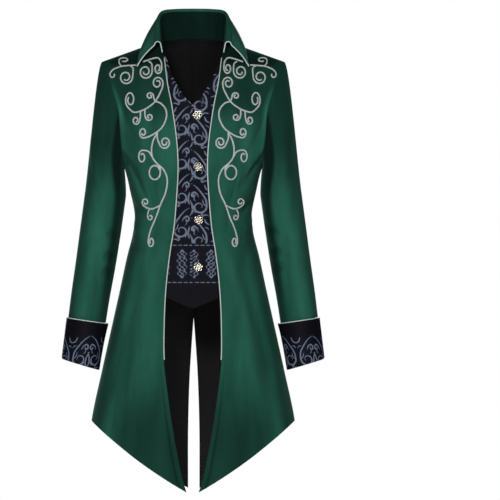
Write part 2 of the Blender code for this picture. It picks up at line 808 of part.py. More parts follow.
def make_button(number, place, panel, metal):
    """A domed metal button with a petalled rim, on a short shank sewn to the waistcoat."""
    point, normal = front_of(panel, place.x, place.z)
    across = Vector((0, 0, 1)).cross(normal).normalized()
    upward = normal.cross(across)
    base = SEAM_GAP + BUTTON_SHANK
    rings = (
        (BUTTON_SHANK_RADIUS, SEAM_GAP),
        (BUTTON_SHANK_RADIUS, base),
        (BUTTON_RADIUS * 0.80, base),
        (BUTTON_RADIUS, base + BUTTON_HEIGHT * 0.25),
        (BUTTON_RADIUS * 0.72, base + BUTTON_HEIGHT * 0.72),
        (BUTTON_RADIUS * 0.34, base + BUTTON_HEIGHT),
    )
    bm = bmesh.new()
    loops = []
    for reach, height in rings:
        loop = []
        for i in range(BUTTON_SIDES):
            angle = 2 * math.pi * i / BUTTON_SIDES
            scallop = 1 - BUTTON_SCALLOP * (1 - math.cos(BUTTON_PETALS * angle)) / 2
            way = across * math.cos(angle) + upward * math.sin(angle)
            loop.append(bm.verts.new(point + way * reach * scallop + normal * height))
        loops.append(loop)
    for low, high in zip(loops, loops[1:]):
        for i in range(BUTTON_SIDES):
            k = (i + 1) % BUTTON_SIDES
            bm.faces.new((low[i], low[k], high[k], high[i]))
    bm.faces.new(loops[0])
    bm.faces.new(loops[-1])
    put_in_scene(f"button_{number}", bm, metal)


def main():
    clear_scene()
    velvet = cloth_material("green_velvet", (0.012, 0.085, 0.055), 0.75)
    brocade = cloth_material("navy_brocade", (0.012, 0.014, 0.030), 0.55)
    lining = cloth_material("black_lining", (0.008, 0.008, 0.008), 0.5)
    piping = cloth_material("silver_piping", (0.56, 0.62, 0.60), 0.45)
    metal = cloth_material("button_metal", (0.72, 0.70, 0.62), 0.3, 1.0)
    vests = []
    for side in (1, -1):
        make_panels(side, velvet, lining, piping)
        vests.append(make_vest(side, brocade))
        make_sleeve(side, velvet)
        make_cuff(side, brocade, piping)
    make_collar(velvet, piping)
    for number, place in enumerate(BUTTONS, 1):
        make_button(number, place, vests[0], metal)


main()
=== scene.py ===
# %% [markdown]
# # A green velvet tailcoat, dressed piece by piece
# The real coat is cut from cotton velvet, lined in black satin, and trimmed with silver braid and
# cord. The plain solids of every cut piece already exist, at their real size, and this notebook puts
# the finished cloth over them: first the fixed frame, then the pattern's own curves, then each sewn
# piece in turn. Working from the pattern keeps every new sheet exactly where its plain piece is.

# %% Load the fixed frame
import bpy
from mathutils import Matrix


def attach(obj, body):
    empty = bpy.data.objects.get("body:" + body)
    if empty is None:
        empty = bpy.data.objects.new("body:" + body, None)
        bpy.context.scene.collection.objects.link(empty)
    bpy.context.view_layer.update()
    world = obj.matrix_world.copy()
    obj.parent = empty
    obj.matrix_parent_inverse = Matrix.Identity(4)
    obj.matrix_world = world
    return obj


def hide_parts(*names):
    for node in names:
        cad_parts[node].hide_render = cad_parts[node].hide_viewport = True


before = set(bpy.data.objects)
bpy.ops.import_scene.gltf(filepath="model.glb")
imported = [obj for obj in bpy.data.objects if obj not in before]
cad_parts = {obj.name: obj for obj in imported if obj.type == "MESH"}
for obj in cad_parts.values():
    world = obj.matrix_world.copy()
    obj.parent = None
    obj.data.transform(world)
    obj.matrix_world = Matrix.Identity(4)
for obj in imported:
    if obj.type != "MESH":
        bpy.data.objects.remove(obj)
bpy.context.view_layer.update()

import bisect
import math
from collections import namedtuple
from functools import partial

import bmesh
import bpy
from mathutils import Matrix, Vector
from mathutils.bvhtree import BVHTree
from mathutils.kdtree import KDTree

UP = Vector((0, 0, 1))
SIDES = (("left", 1), ("right", -1))
print("Blender", bpy.app.version_string)

# %% [markdown]
# ## The pattern's curves
# A tailor's pattern is a few measured curves: how wide and deep the body is at each height, where the
# front edges fall, how the armhole runs. They could be drawn as Bezier curves, but short tables with
# named columns can be read and altered like a size chart. One helper turns any column into a smooth
# function of the first.

# %% Read a size chart smoothly
def end_weights(t):
    """How much two ends, and then the slopes at them, count at t from 0 to 1."""
    return 2 * t**3 - 3 * t**2 + 1, 3 * t**2 - 2 * t**3, t**3 - 2 * t**2 + t, t**3 - t**2


def smooth_curve(rows, column):
    """A function that reads one column of a table at any place along its first column."""
    places = [row[0] for row in rows]
    values = [getattr(row, column) for row in rows]
    spans = [b - a for a, b in zip(places, places[1:])]
    rises = [(b - a) / span for a, b, span in zip(values, values[1:], spans)]
    slopes = [rises[0]] + [(a + b) / 2 for a, b in zip(rises, rises[1:])] + [rises[-1]]

    def at(place):
        place = min(max(place, places[0]), places[-1])
        k = min(bisect.bisect_right(places, place) - 1, len(spans) - 1)
        ends = values[k], values[k + 1], slopes[k] * spans[k], slopes[k + 1] * spans[k]
        weights = end_weights((place - places[k]) / spans[k])
        return sum(end * weight for end, weight in zip(ends, weights))

    return at


print("weights halfway:", end_weights(0.5))

# %% The body's sections, from the tails up to the shoulders
Section = namedtuple("Section", "z half_width front back")
SECTIONS = (
    Section(-1.000, 0.245, 0.160, 0.165),
    Section(-0.839, 0.229, 0.152, 0.156),
    Section(-0.720, 0.204, 0.141, 0.144),
    Section(-0.612, 0.180, 0.130, 0.131),
    Section(-0.540, 0.164, 0.122, 0.121),
    Section(-0.468, 0.1485, 0.113, 0.106),
    Section(-0.414, 0.135, 0.106, 0.092),
    Section(-0.378, 0.1315, 0.103, 0.087),
    Section(-0.324, 0.1415, 0.110, 0.094),
    Section(-0.270, 0.1550, 0.118, 0.105),
    Section(-0.220, 0.179, 0.120, 0.114),
    Section(-0.160, 0.195, 0.118, 0.119),
    Section(-0.090, 0.206, 0.115, 0.117),
    Section(0.000, 0.215, 0.112, 0.106),
)
half_width_at = smooth_curve(SECTIONS, "half_width")
front_depth_at = smooth_curve(SECTIONS, "front")
back_depth_at = smooth_curve(SECTIONS, "back")
WAIST_Z = -0.378
print("waist half width:", round(half_width_at(WAIST_Z), 4))

# %% The front edges and the back vent, as half openings
HalfOpening = namedtuple("HalfOpening", "z x")
NECK_X = 0.070
FRONT_EDGE = (
    HalfOpening(-0.998, 0.0125),
    HalfOpening(-0.961, 0.0235),
    HalfOpening(-0.916, 0.0332),
    HalfOpening(-0.848, 0.0455),
    HalfOpening(-0.770, 0.0568),
    HalfOpening(-0.702, 0.0645),
    HalfOpening(-0.621, 0.0650),
    HalfOpening(-0.540, 0.0612),
    HalfOpening(-0.459, 0.0520),
    HalfOpening(-0.405, 0.0435),
    HalfOpening(-0.351, 0.0385),
    HalfOpening(-0.270, 0.0340),
    HalfOpening(-0.216, 0.0365),
    HalfOpening(-0.135, 0.0475),
    HalfOpening(-0.081, 0.0580),
    HalfOpening(-0.022, 0.0655),
    HalfOpening(0.018, NECK_X),
)
VENT_EDGE = (
    HalfOpening(-0.998, 0.0130),
    HalfOpening(-0.860, 0.0128),
    HalfOpening(-0.740, 0.0092),
    HalfOpening(-0.680, 0.0055),
    HalfOpening(-0.640, 0.0026),
    HalfOpening(-0.606, 0.0),
)
front_edge_at = smooth_curve(FRONT_EDGE, "x")
vent_edge_at = smooth_curve(VENT_EDGE, "x")
print("front opening at the waist:", round(2 * front_edge_at(WAIST_Z), 4))

# %% The armhole, by share of the way from armpit to shoulder
Armhole = namedtuple("Armhole", "share front back")
ARMHOLE = (
    Armhole(0.00, 90.0, 90.0),
    Armhole(0.04, 78.0, 77.0),
    Armhole(0.10, 69.0, 68.0),
    Armhole(0.20, 62.0, 61.0),
    Armhole(0.35, 57.0, 57.0),
    Armhole(0.50, 55.0, 56.0),
    Armhole(0.65, 57.5, 58.0),
    Armhole(0.80, 62.0, 63.0),
    Armhole(0.90, 67.0, 67.0),
    Armhole(1.00, 71.2, 71.2),
)
armhole_front_at = smooth_curve(ARMHOLE, "front")
armhole_back_at = smooth_curve(ARMHOLE, "back")
print("armhole's turn halfway up, front and back:", armhole_front_at(0.5), armhole_back_at(0.5))

# %% Shoulder, hem and skirt sizes
SHOULDER_X = 0.205
SHOULDER_Z = -0.031
SHOULDER_SLOPE = 0.36
NAPE_X = 0.045
ARMPIT_Z = -0.270
YOKE_ROUNDNESS = 2.4
SQUARENESS = 2 / 2.3
SIDE_SEAM = math.pi / 2
CENTRE_BACK = math.pi
HEM_SIDE_X = 0.227
HEM_SIDE_Z = -0.839
HEM_SLOPE = 0.90
HEM_HOLLOW = 0.80
NECK_FRONT_SHARE = 0.865
NECK_BACK_SHARE = 0.960
Flute = namedtuple("Flute", "turn spread depth top_z")
FLUTES = (
    Flute(30.0, 8.0, 0.0055, -0.46),
    Flute(46.0, 8.0, -0.0050, -0.50),
    Flute(63.0, 8.0, 0.0050, -0.48),
    Flute(77.0, 6.0, -0.0035, -0.55),
)
FLUTE_MOST = 1.3
print("shoulder seam falls by:", round(SHOULDER_SLOPE * (SHOULDER_X - NAPE_X), 4))

# %% [markdown]
# ## The coat's outer surface
# Worn, the coat is a rounded tube below the armpits and a vault that closes on the shoulder seams
# above them. A cloth simulation over a figure could find such a form, but nothing here may carry a
# figure's shape, and the cut alone gives it. So two numbers name every place on the coat: the turn
# round the body, from centre front to centre back, and the drop, from -1 on the shoulder seam through
# 0 at the armpit to 1 on the hem.

# %% Places on the body and the yoke
def power(value):
    return math.copysign(abs(value) ** SQUARENESS, value)


def turn_at(x, half_width):
    """The turn round a section at which it is x from the centre."""
    share = min(abs(x) / half_width, 1.0)
    return math.copysign(math.asin(share ** (1 / SQUARENESS)), x)


def shoulder_line(x):
    """The height of the shoulder seam, rounded off over the nape."""
    out = abs(x)
    if out < NAPE_X:
        out = (x * x / NAPE_X + NAPE_X) / 2
    return SHOULDER_Z + SHOULDER_SLOPE * (SHOULDER_X - out)


def hem_line(x):
    inward = HEM_SIDE_X - abs(x)
    return HEM_SIDE_Z - HEM_SLOPE * inward + HEM_HOLLOW * inward**2


def depth_at(turn, z):
    return front_depth_at(z) if abs(turn) < SIDE_SEAM else back_depth_at(z)


def flute_push(turn, z):
    """How far the skirt's soft flutes stand out of its plain section."""
    from_centre = math.degrees(min(abs(turn), CENTRE_BACK - abs(turn)))
    push = 0.0
    for flute in FLUTES:
        if z < flute.top_z:
            grown = (flute.top_z - z) / (flute.top_z - HEM_SIDE_Z)
            reach = (from_centre - flute.turn) / flute.spread
            push += flute.depth * min(grown, FLUTE_MOST) * math.exp(-reach * reach)
    return push


def ring_point(turn, z):
    depth = depth_at(turn, z)
    push = 1 + flute_push(turn, z) / depth
    y = -depth * power(math.cos(turn)) * push
    return Vector((half_width_at(z) * power(math.sin(turn)), y, z))


def yoke_point(turn, share):
    level = ARMPIT_Z * (1 - share)
    x = half_width_at(level) * power(math.sin(turn))
    rounding = math.sqrt(max(1 - share**YOKE_ROUNDNESS, 0.0))
    z = ARMPIT_Z + (shoulder_line(x) - ARMPIT_Z) * share
    return Vector((x, -depth_at(turn, level) * power(math.cos(turn)) * rounding, z))


print("side of the chest:", [round(value, 3) for value in ring_point(SIDE_SEAM, ARMPIT_Z)])


# %% Any place on the coat, and where its edges run
EDGE_ROUNDS = 8
HEM_ROUNDS = 5


def hem_of(turn):
    z = HEM_SIDE_Z
    for _ in range(HEM_ROUNDS):
        z = hem_line(half_width_at(z) * power(math.sin(turn)))
    return z


def coat_point(turn, drop):
    """The coat's outer surface: drop is -1 on the shoulder seam, 0 at the armpit and 1 on the hem."""
    if drop < 0:
        return yoke_point(turn, -drop)
    return ring_point(turn, ARMPIT_Z + drop * (hem_of(turn) - ARMPIT_Z))


def edge_turn(half_opening_at, drop, start):
    """The turn at which a front edge or the vent crosses this drop, found by closing in on it."""
    turn = start
    for _ in range(EDGE_ROUNDS):
        z = coat_point(turn, drop).z
        level = ARMPIT_Z * (1 + drop) if drop < 0 else z
        near = turn_at(half_opening_at(z), half_width_at(level))
        turn = near if start < SIDE_SEAM else CENTRE_BACK - near
    return turn


def armhole_turn(share, back):
    if back:
        return CENTRE_BACK - math.radians(armhole_back_at(share))
    return math.radians(armhole_front_at(share))


NECK_TURN = CENTRE_BACK - turn_at(NECK_X, half_width_at(0.0))
NECK_COLUMN = (CENTRE_BACK - NECK_TURN) / (CENTRE_BACK - armhole_turn(1.0, True))


def neck_back_share(turn):
    """How high the back reaches at this turn: the neckline near the centre, then the shoulder seam."""
    inward = min(max((turn - NECK_TURN) / (CENTRE_BACK - NECK_TURN), 0.0), 1.0)
    return 1 - (1 - NECK_BACK_SHARE) * math.sin(inward * math.pi / 2)


print("centre back hem:", round(coat_point(CENTRE_BACK, 1.0).z, 4))

# %% [markdown]
# ## Sheets of cloth
# Every garment piece here starts as what it is on the cutting table: a flat rectangle of weave.
# Blender's own grid operator makes it, and each vertex is then carried to its place on the form.
# Triangulating scattered points would lose the rows that follow the grain, which is what keeps
# creases and seams clean. A Solidify modifier gives the wall its thickness inwards, and a small Bevel
# rounds the turned edge.

# %% A grid of cloth on a form
PATTERN = "pattern"
EDGE_STEPS = (0.0, 0.0012, 0.0030, 0.0060)


def on_side(point, side):
    """The point itself for side 1, the left, and its mirror image for side -1."""
    return Vector((side * point.x, point.y, point.z))


def mirrored(place, side):
    """The left side's place() made into the same for either side."""
    def side_place(across, down):
        point, spot = place(across, down)
        return on_side(point, side), spot

    return side_place


def spread(count, length, extra=()):
    """Shares across a piece, finer at both edges where seams dip, and extra ones at its corners."""
    near = [step / length for step in EDGE_STEPS]
    middle = [near[-1] + (1 - 2 * near[-1]) * k / count for k in range(1, count)]
    return sorted(near + middle + [1 - share for share in near] + list(extra))


def grid_sheet(across, down, place):
    """A grid whose vertices move to place(across, down), which also gives each its pattern place."""
    bm = bmesh.new()
    columns, rows = len(across) - 1, len(down) - 1
    bmesh.ops.create_grid(bm, x_segments=columns, y_segments=rows, size=0.5)
    spots = {}
    for vertex in bm.verts:
        i = round((vertex.co.x + 0.5) * columns)
        j = round((0.5 - vertex.co.y) * rows)
        vertex.co, spot = place(across[i], down[j])
        spots[vertex] = (across[i], down[j], spot)
    uv = bm.loops.layers.uv.new(PATTERN)
    for face in bm.faces:
        for loop in face.loops:
            loop[uv].uv = spots[loop.vert][2]
    return bm, spots


def face_outwards(bm, inside=Vector((0, 0, 0))):
    """Turns the whole sheet over if its middle face looks at the inside point's column."""
    bm.faces.ensure_lookup_table()
    middle = bm.faces[len(bm.faces) // 2]
    bm.normal_update()
    away = middle.calc_center_median() - inside
    away.z = 0.0
    if middle.normal.dot(away) < 0:
        bmesh.ops.reverse_faces(bm, faces=bm.faces)
    bm.normal_update()


print("steps across a panel of 60 columns:", len(spread(60, 0.27)) - 1)

# %% From bmesh to a finished wall
EDGE_SOFTNESS = 0.0006
SHARP_ANGLE = math.radians(60)


def into_scene(name, bm, *materials):
    mesh = bpy.data.meshes.new(name)
    bm.to_mesh(mesh)
    bm.free()
    for material in materials:
        mesh.materials.append(material)
    mesh.shade_smooth()
    piece = bpy.data.objects.new(name, mesh)
    bpy.context.scene.collection.objects.link(piece)
    return piece


def give_wall(piece, thickness, edge=EDGE_SOFTNESS):
    """Cloth thickness on the inner side, in the second material, with a softened edge."""
    wall = piece.modifiers.new("wall", "SOLIDIFY")
    wall.thickness = thickness
    wall.offset = -1.0
    wall.use_even_offset = True
    wall.material_offset = 1
    soft = piece.modifiers.new("soft edge", "BEVEL")
    soft.width = edge
    soft.segments = 2
    soft.limit_method = "ANGLE"
    soft.angle_limit = SHARP_ANGLE


def on_coat(piece, slot, *nodes):
    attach(piece, "root")
    if nodes:
        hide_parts(*nodes)


print("cloth edges are softened by:", EDGE_SOFTNESS)

# %% [markdown]
# ## Camera, floor and light
# A coat like this is photographed on a white sweep with broad soft light, so its dark pile shows its
# folds and nothing throws a hard shadow. A long lens from far off keeps both sleeves square to the
# picture. The floor is plain and pale and lies well under the tails, because the coat hangs from a
# wearer's shoulders. The world looks white to the camera and gives only a gentle fill to the cloth,
# which Light Path tells apart.

# %% The camera, level and square to the front
FRAME_METRES = 1.125
LENS = 500.0
SENSOR = 36.0
CAMERA_X = 0.1278
CAMERA_Z = -0.4545

scene = bpy.context.scene
camera_data = bpy.data.cameras.new("front camera")
camera_data.lens = LENS
camera_data.sensor_width = SENSOR
camera_data.clip_end = 100
camera = bpy.data.objects.new("front camera", camera_data)
camera.location = (CAMERA_X, -FRAME_METRES * LENS / SENSOR, CAMERA_Z)
camera.rotation_euler = (math.pi / 2, 0, 0)
scene.collection.objects.link(camera)
scene.camera = camera
scene.view_settings.view_transform = "Standard"
print("camera distance:", round(-camera.location.y, 3))

# %% A pale floor under the tails
FLOOR_Z = -1.50
FLOOR_RADIUS = 6.0
WHITE = (1, 1, 1, 1)


def set_sockets(node, values):
    for name, value in values.items():
        node.inputs[name].default_value = value


bm = bmesh.new()
bmesh.ops.create_circle(bm, cap_ends=True, segments=96, radius=FLOOR_RADIUS)
bmesh.ops.translate(bm, verts=bm.verts, vec=(0, 0, FLOOR_Z))
floor_material = bpy.data.materials.new("pale floor")
floor_material.use_nodes = True
floor_look = {
    "Base Color": (0.80, 0.80, 0.80, 1),
    "Roughness": 0.9,
    "Emission Color": WHITE,
    "Emission Strength": 0.45,
}
set_sockets(floor_material.node_tree.nodes["Principled BSDF"], floor_look)
floor = into_scene("floor", bm, floor_material)
print("floor faces:", len(floor.data.polygons))

# %% Soft studio light
AreaLight = namedtuple("AreaLight", "name place aim size watts")
AREA_LIGHTS = (
    AreaLight("front key", (-0.6, -3.7, 0.9), (0, 0, -0.45), 0.8, 122),
    AreaLight("front fill", (1.2, -3.7, -0.1), (0, 0, -0.5), 1.1, 34),
    AreaLight("back key", (0.6, 3.7, 0.9), (0, 0, -0.45), 0.8, 122),
    AreaLight("back fill", (-1.2, 3.7, -0.1), (0, 0, -0.5), 1.1, 34),
)
WORLD_FILL = 0.07

for light in AREA_LIGHTS:
    lamp = bpy.data.lights.new(light.name, "AREA")
    lamp.shape = "DISK"
    lamp.size = light.size
    lamp.energy = light.watts
    holder = bpy.data.objects.new(light.name, lamp)
    holder.location = light.place
    way = Vector(light.aim) - Vector(light.place)
    holder.rotation_euler = way.to_track_quat("-Z", "Y").to_euler()
    scene.collection.objects.link(holder)

world = bpy.data.worlds.new("white sweep")
scene.world = world
world.use_nodes = True
world_tree = world.node_tree
fill = world_tree.nodes["Background"]
seen = world_tree.nodes.new("ShaderNodeBackground")
set_sockets(fill, {"Color": WHITE, "Strength": WORLD_FILL})
set_sockets(seen, {"Color": WHITE, "Strength": 1.0})
ray = world_tree.nodes.new("ShaderNodeLightPath")
choice = world_tree.nodes.new("ShaderNodeMixShader")
world_tree.links.new(ray.outputs["Is Camera Ray"], choice.inputs["Fac"])
world_tree.links.new(fill.outputs[0], choice.inputs[1])
world_tree.links.new(seen.outputs[0], choice.inputs[2])
world_tree.links.new(choice.outputs[0], world_tree.nodes["World Output"].inputs["Surface"])
print("lights:", len(AREA_LIGHTS))


# %% [markdown]
# ## Finishes as node groups
# Cloth shows its make at two scales: the pile or weave itself, under a millimetre, and slow changes
# of shade over several centimetres, where a hand or a fold has laid the nap down. Image textures
# could hold both, but they blur up close. Small shader groups work both out at any distance, and each
# cloth sets its own scales. A group only puts out masks and heights. The shader itself stays in the
# material, where its sheen is set.

# %% Helpers that wire a node tree
def new_group(name, inputs, outputs):
    """A shader node group with named number sockets, and its two ends."""
    group = bpy.data.node_groups.new(name, "ShaderNodeTree")
    for socket, kind, value in inputs:
        made = group.interface.new_socket(name=socket, in_out="INPUT", socket_type=f"NodeSocket{kind}")
        if value is not None:
            made.default_value = value
    for socket, kind in outputs:
        group.interface.new_socket(name=socket, in_out="OUTPUT", socket_type=f"NodeSocket{kind}")
    return group, group.nodes.new("NodeGroupInput"), group.nodes.new("NodeGroupOutput")


def set_or_link(tree, socket, value):
    """Links another node's output to the socket, or sets a plain value on it."""
    if isinstance(value, bpy.types.NodeSocket):
        tree.links.new(value, socket)
    else:
        socket.default_value = value


def add_math(tree, operation, *values):
    node = tree.nodes.new("ShaderNodeMath")
    node.operation = operation
    for socket, value in zip(node.inputs, values):
        set_or_link(tree, socket, value)
    return node.outputs[0]


def add_step(tree, value, low, high):
    """0 below low and 1 above high, with a soft step between."""
    node = tree.nodes.new("ShaderNodeMapRange")
    node.interpolation_type = "SMOOTHSTEP"
    tree.links.new(value, node.inputs["Value"])
    set_sockets(node, {"From Min": low, "From Max": high})
    return node.outputs["Result"]


def add_mix(tree, share, first, second):
    """A colour between two, each of them a colour or a socket."""
    node = tree.nodes.new("ShaderNodeMix")
    node.data_type = "RGBA"
    tree.links.new(share, node.inputs["Factor"])
    for name, value in (("A", first), ("B", second)):
        socket = next(s for s in node.inputs if s.name == name and s.type == "RGBA")
        set_or_link(tree, socket, (*value, 1) if isinstance(value, tuple) else value)
    return next(s for s in node.outputs if s.type == "RGBA")


print("wiring helpers:", [helper.__name__ for helper in (new_group, add_math, add_step, add_mix)])

# %% Helpers that place noise, groups and bumps
def add_noise(tree, vector, scale, detail=2.0):
    node = tree.nodes.new("ShaderNodeTexNoise")
    for name, value in (("Vector", vector), ("Scale", scale), ("Detail", detail)):
        set_or_link(tree, node.inputs[name], value)
    return node.outputs["Fac"]


def add_group(tree, group, **values):
    node = tree.nodes.new("ShaderNodeGroup")
    node.node_tree = group
    for name, value in values.items():
        set_or_link(tree, node.inputs[name.capitalize()], value)
    return node


def set_bump(tree, shader, height, distance, strength):
    bump = tree.nodes.new("ShaderNodeBump")
    set_sockets(bump, {"Distance": distance, "Strength": strength})
    tree.links.new(height, bump.inputs["Height"])
    tree.links.new(bump.outputs["Normal"], shader.inputs["Normal"])


print("texture helpers:", [helper.__name__ for helper in (add_noise, add_group, set_bump)])

# %% Helpers that start a finish and say what its pattern follows
def start_finish(name):
    material = bpy.data.materials.new(name)
    material.use_nodes = True
    return material, material.node_tree, material.node_tree.nodes["Principled BSDF"]


def object_place(tree):
    return tree.nodes.new("ShaderNodeTexCoord").outputs["Object"]


def pattern_place(tree):
    """The piece's own pattern coordinates, which follow the cloth or the thread."""
    node = tree.nodes.new("ShaderNodeUVMap")
    node.uv_map = PATTERN
    return node.outputs["UV"]


def vertex_value(tree, name):
    node = tree.nodes.new("ShaderNodeAttribute")
    node.attribute_name = name
    return node.outputs["Fac"]


print("a pattern follows:", [helper.__name__ for helper in (object_place, pattern_place, vertex_value)])

# %% Nap: the pile of a velvet and the way it lies
nap_group, nap_in, nap_out = new_group(
    "nap",
    (("Place", "Vector", None), ("Pile", "Float", 900.0), ("Streaks", "Float", 26.0)),
    (("Shade", "Float"), ("Height", "Float")),
)
STREAK_STRETCH = (1.0, 1.0, 0.14)
CLOUD_SCALE = 9.0
SHADE_LOW = 0.25
SHADE_HIGH = 0.79
place = nap_in.outputs["Place"]
stretch = nap_group.nodes.new("ShaderNodeMapping")
stretch.inputs["Scale"].default_value = STREAK_STRETCH
nap_group.links.new(place, stretch.inputs["Vector"])
streaks = add_noise(nap_group, stretch.outputs[0], nap_in.outputs["Streaks"], detail=3.0)
pile = add_noise(nap_group, place, nap_in.outputs["Pile"], detail=1.0)
clouds = add_noise(nap_group, place, CLOUD_SCALE)
slow = add_math(nap_group, "MULTIPLY_ADD", clouds, 0.22, add_math(nap_group, "MULTIPLY", streaks, 0.60))
shade = add_math(nap_group, "MULTIPLY_ADD", pile, 0.18, slow)
nap_group.links.new(add_step(nap_group, shade, SHADE_LOW, SHADE_HIGH), nap_out.inputs["Shade"])
nap_group.links.new(pile, nap_out.inputs["Height"])
print("nap puts out:", [socket.name for socket in nap_out.inputs if socket.name])

# %% Twill: the fine diagonal threads of a woven ground
twill_group, twill_in, twill_out = new_group(
    "twill",
    (("Place", "Vector", None), ("Threads", "Float", 2400.0)),
    (("Rib", "Float"), ("Slub", "Float")),
)
THREAD_ANGLE = math.radians(38)
SLUB_SCALE = 260.0
turn_threads = twill_group.nodes.new("ShaderNodeMapping")
turn_threads.inputs["Rotation"].default_value = (0, 0, THREAD_ANGLE)
twill_group.links.new(twill_in.outputs["Place"], turn_threads.inputs["Vector"])
parts = twill_group.nodes.new("ShaderNodeSeparateXYZ")
twill_group.links.new(turn_threads.outputs[0], parts.inputs[0])
wave = add_math(twill_group, "MULTIPLY", parts.outputs["X"], twill_in.outputs["Threads"])
rib = add_math(twill_group, "MULTIPLY_ADD", add_math(twill_group, "SINE", wave), 0.5, 0.5)
twill_group.links.new(rib, twill_out.inputs["Rib"])
slub = add_noise(twill_group, twill_in.outputs["Place"], SLUB_SCALE)
twill_group.links.new(slub, twill_out.inputs["Slub"])
print("groups:", len(bpy.data.node_groups))

# %% [markdown]
# ## Green velvet and black satin
# The velvet's green is deep where the pile stands towards the eye and lighter where it is brushed
# flat, so two greens are mixed by the nap's shade. Shade and highlights are also painted into the
# green: a painted shade where the cloth turns away from the eye, and painted shade and highlight
# patches from a value on each vertex. A little green sheen catches the light along rounded edges,
# as short fibres do. Its gloss is kept low, because a pile reflects hardly anything straight back.
# The satin is a smooth black weave with a slight gloss.

# %% Velvet
PAINTED_LIGHT_LAYER = "painted_light_and_shade"
BRIGHTEST_PAINTED_LIGHT = 1.6
DARKEST_PAINTED_SHADE = -1.0
PAINTED_SHADE_FACING = (0.12, 0.85)


def velvet_finish(name, deep, light, edge, painted_highlight, sheen):
    """Velvet in its nap's colours, with painted highlights and painted shade from the vertex value, and
    painted shade where it curves away from the eye.
    """
    material, tree, shader = start_finish(name)
    nap = add_group(tree, nap_group, place=object_place(tree))
    # lay is the painted light on each vertex: above 0 it mixes in a painted highlight, below 0 a painted
    # shade.
    lay = vertex_value(tree, PAINTED_LIGHT_LAYER)
    painted_shading = add_mix(tree, nap.outputs["Shade"], deep, light)
    painted_shading = add_mix(tree, add_step(tree, lay, 0.0, BRIGHTEST_PAINTED_LIGHT), painted_shading, painted_highlight)
    painted_shading = add_mix(tree, add_step(tree, lay, 0.0, DARKEST_PAINTED_SHADE), painted_shading, edge)
    # Painted shade: the colour turns to the edge green where the cloth curves away from the eye.
    view = tree.nodes.new("ShaderNodeLayerWeight")
    view.inputs["Blend"].default_value = 0.5
    away = add_step(tree, view.outputs["Facing"], *PAINTED_SHADE_FACING)
    tree.links.new(add_mix(tree, away, painted_shading, edge), shader.inputs["Base Color"])
    set_sockets(shader, {
        "Roughness": 0.85,
        "Specular IOR Level": 0.03,
        "Sheen Weight": sheen,
        "Sheen Roughness": 0.5,
        "Sheen Tint": (0.25, 0.85, 0.62, 1),
    })
    set_bump(tree, shader, nap.outputs["Height"], 0.0006, 0.55)
    return material


# deep and light are the velvet's own greens; edge is its painted shade colour, and the last colour its
# painted highlight.
velvet = velvet_finish(
    "green velvet",
    deep=(0.0065, 0.0360, 0.0255),
    light=(0.0150, 0.0860, 0.0590),
    edge=(0.0014, 0.0065, 0.0050),
    painted_highlight=(0.0260, 0.1350, 0.0950),
    sheen=0.10,
)
# A darker copy of the velvet, painted in shade, for the collar's stand and inner side, where shadow
# falls.
shaded_velvet = velvet_finish(
    "velvet under the collar",
    deep=(0.0012, 0.0055, 0.0042),
    light=(0.0032, 0.0140, 0.0105),
    edge=(0.0008, 0.0036, 0.0028),
    painted_highlight=(0.0040, 0.0180, 0.0130),
    sheen=0.03,
)
print("velvets:", velvet.name, shaded_velvet.name)

# %% Satin lining
SATIN_DARK = (0.0045, 0.0046, 0.0050)
SATIN_LIGHT = (0.0095, 0.0095, 0.0100)
satin, tree, shader = start_finish("black satin")
twill = add_group(tree, twill_group, place=object_place(tree), threads=3600.0)
satin_colour = add_mix(tree, twill.outputs["Slub"], SATIN_DARK, SATIN_LIGHT)
tree.links.new(satin_colour, shader.inputs["Base Color"])
set_sockets(shader, {"Roughness": 0.42, "Specular IOR Level": 0.04})
set_bump(tree, shader, twill.outputs["Rib"], 0.0001, 0.3)
print("lining:", satin.name)

# %% [markdown]
# ## Brocade with a woven figure
# Brocade is a dark ground with a lighter figure floated over it, here scrolling leaves in grey blue
# on navy. A drawn picture would blur, and formulas for every leaf in nodes would be slow, so each
# brocade sheet carries a number on its vertices: how far inside or outside the figure that place is.
# Between vertices the number stays true, so the shader finds a crisp edge from it, and a navy bloom
# round the figure as well.

# %% Brocade reads the distance to its figure
FIGURE = "figure_edge"
FIGURE_EDGE = 0.00022
NAVY_REACH = 0.0075
GROUND_BLACK = (0.0022, 0.0021, 0.0032)
GROUND_NAVY = (0.0022, 0.0030, 0.0085)
GROUND_RIB = (0.006, 0.0065, 0.011)
FIGURE_DARK = (0.055, 0.068, 0.098)
FIGURE_LIGHT = (0.135, 0.156, 0.205)
brocade, tree, shader = start_finish("navy brocade")
twill = add_group(tree, twill_group, place=pattern_place(tree), threads=3000.0)
distance = vertex_value(tree, FIGURE)
inside = add_step(tree, distance, -FIGURE_EDGE, FIGURE_EDGE)
bloom = add_step(tree, distance, -NAVY_REACH, -NAVY_REACH * 0.25)
ground = add_mix(tree, bloom, GROUND_BLACK, GROUND_NAVY)
ground = add_mix(tree, add_math(tree, "MULTIPLY", twill.outputs["Rib"], 0.35), ground, GROUND_RIB)
figure_colour = add_mix(tree, twill.outputs["Slub"], FIGURE_DARK, FIGURE_LIGHT)
tree.links.new(add_mix(tree, inside, ground, figure_colour), shader.inputs["Base Color"])
tree.links.new(add_math(tree, "MULTIPLY_ADD", inside, -0.12, 0.62), shader.inputs["Roughness"])
shader.inputs["Specular IOR Level"].default_value = 0.04
raised = add_math(tree, "MULTIPLY_ADD", twill.outputs["Rib"], 0.4, inside)
set_bump(tree, shader, raised, 0.00018, 0.7)
print("brocade nodes:", len(tree.nodes))

# %% [markdown]
# ## Silver cord, braid and button metal
# The cord on the edges is satin-covered and reads as a pale twisted line. The scrolls are a two-
# strand braid of metallic thread, which glints along each strand. The buttons are cast and plated,
# with dark in their hollows.

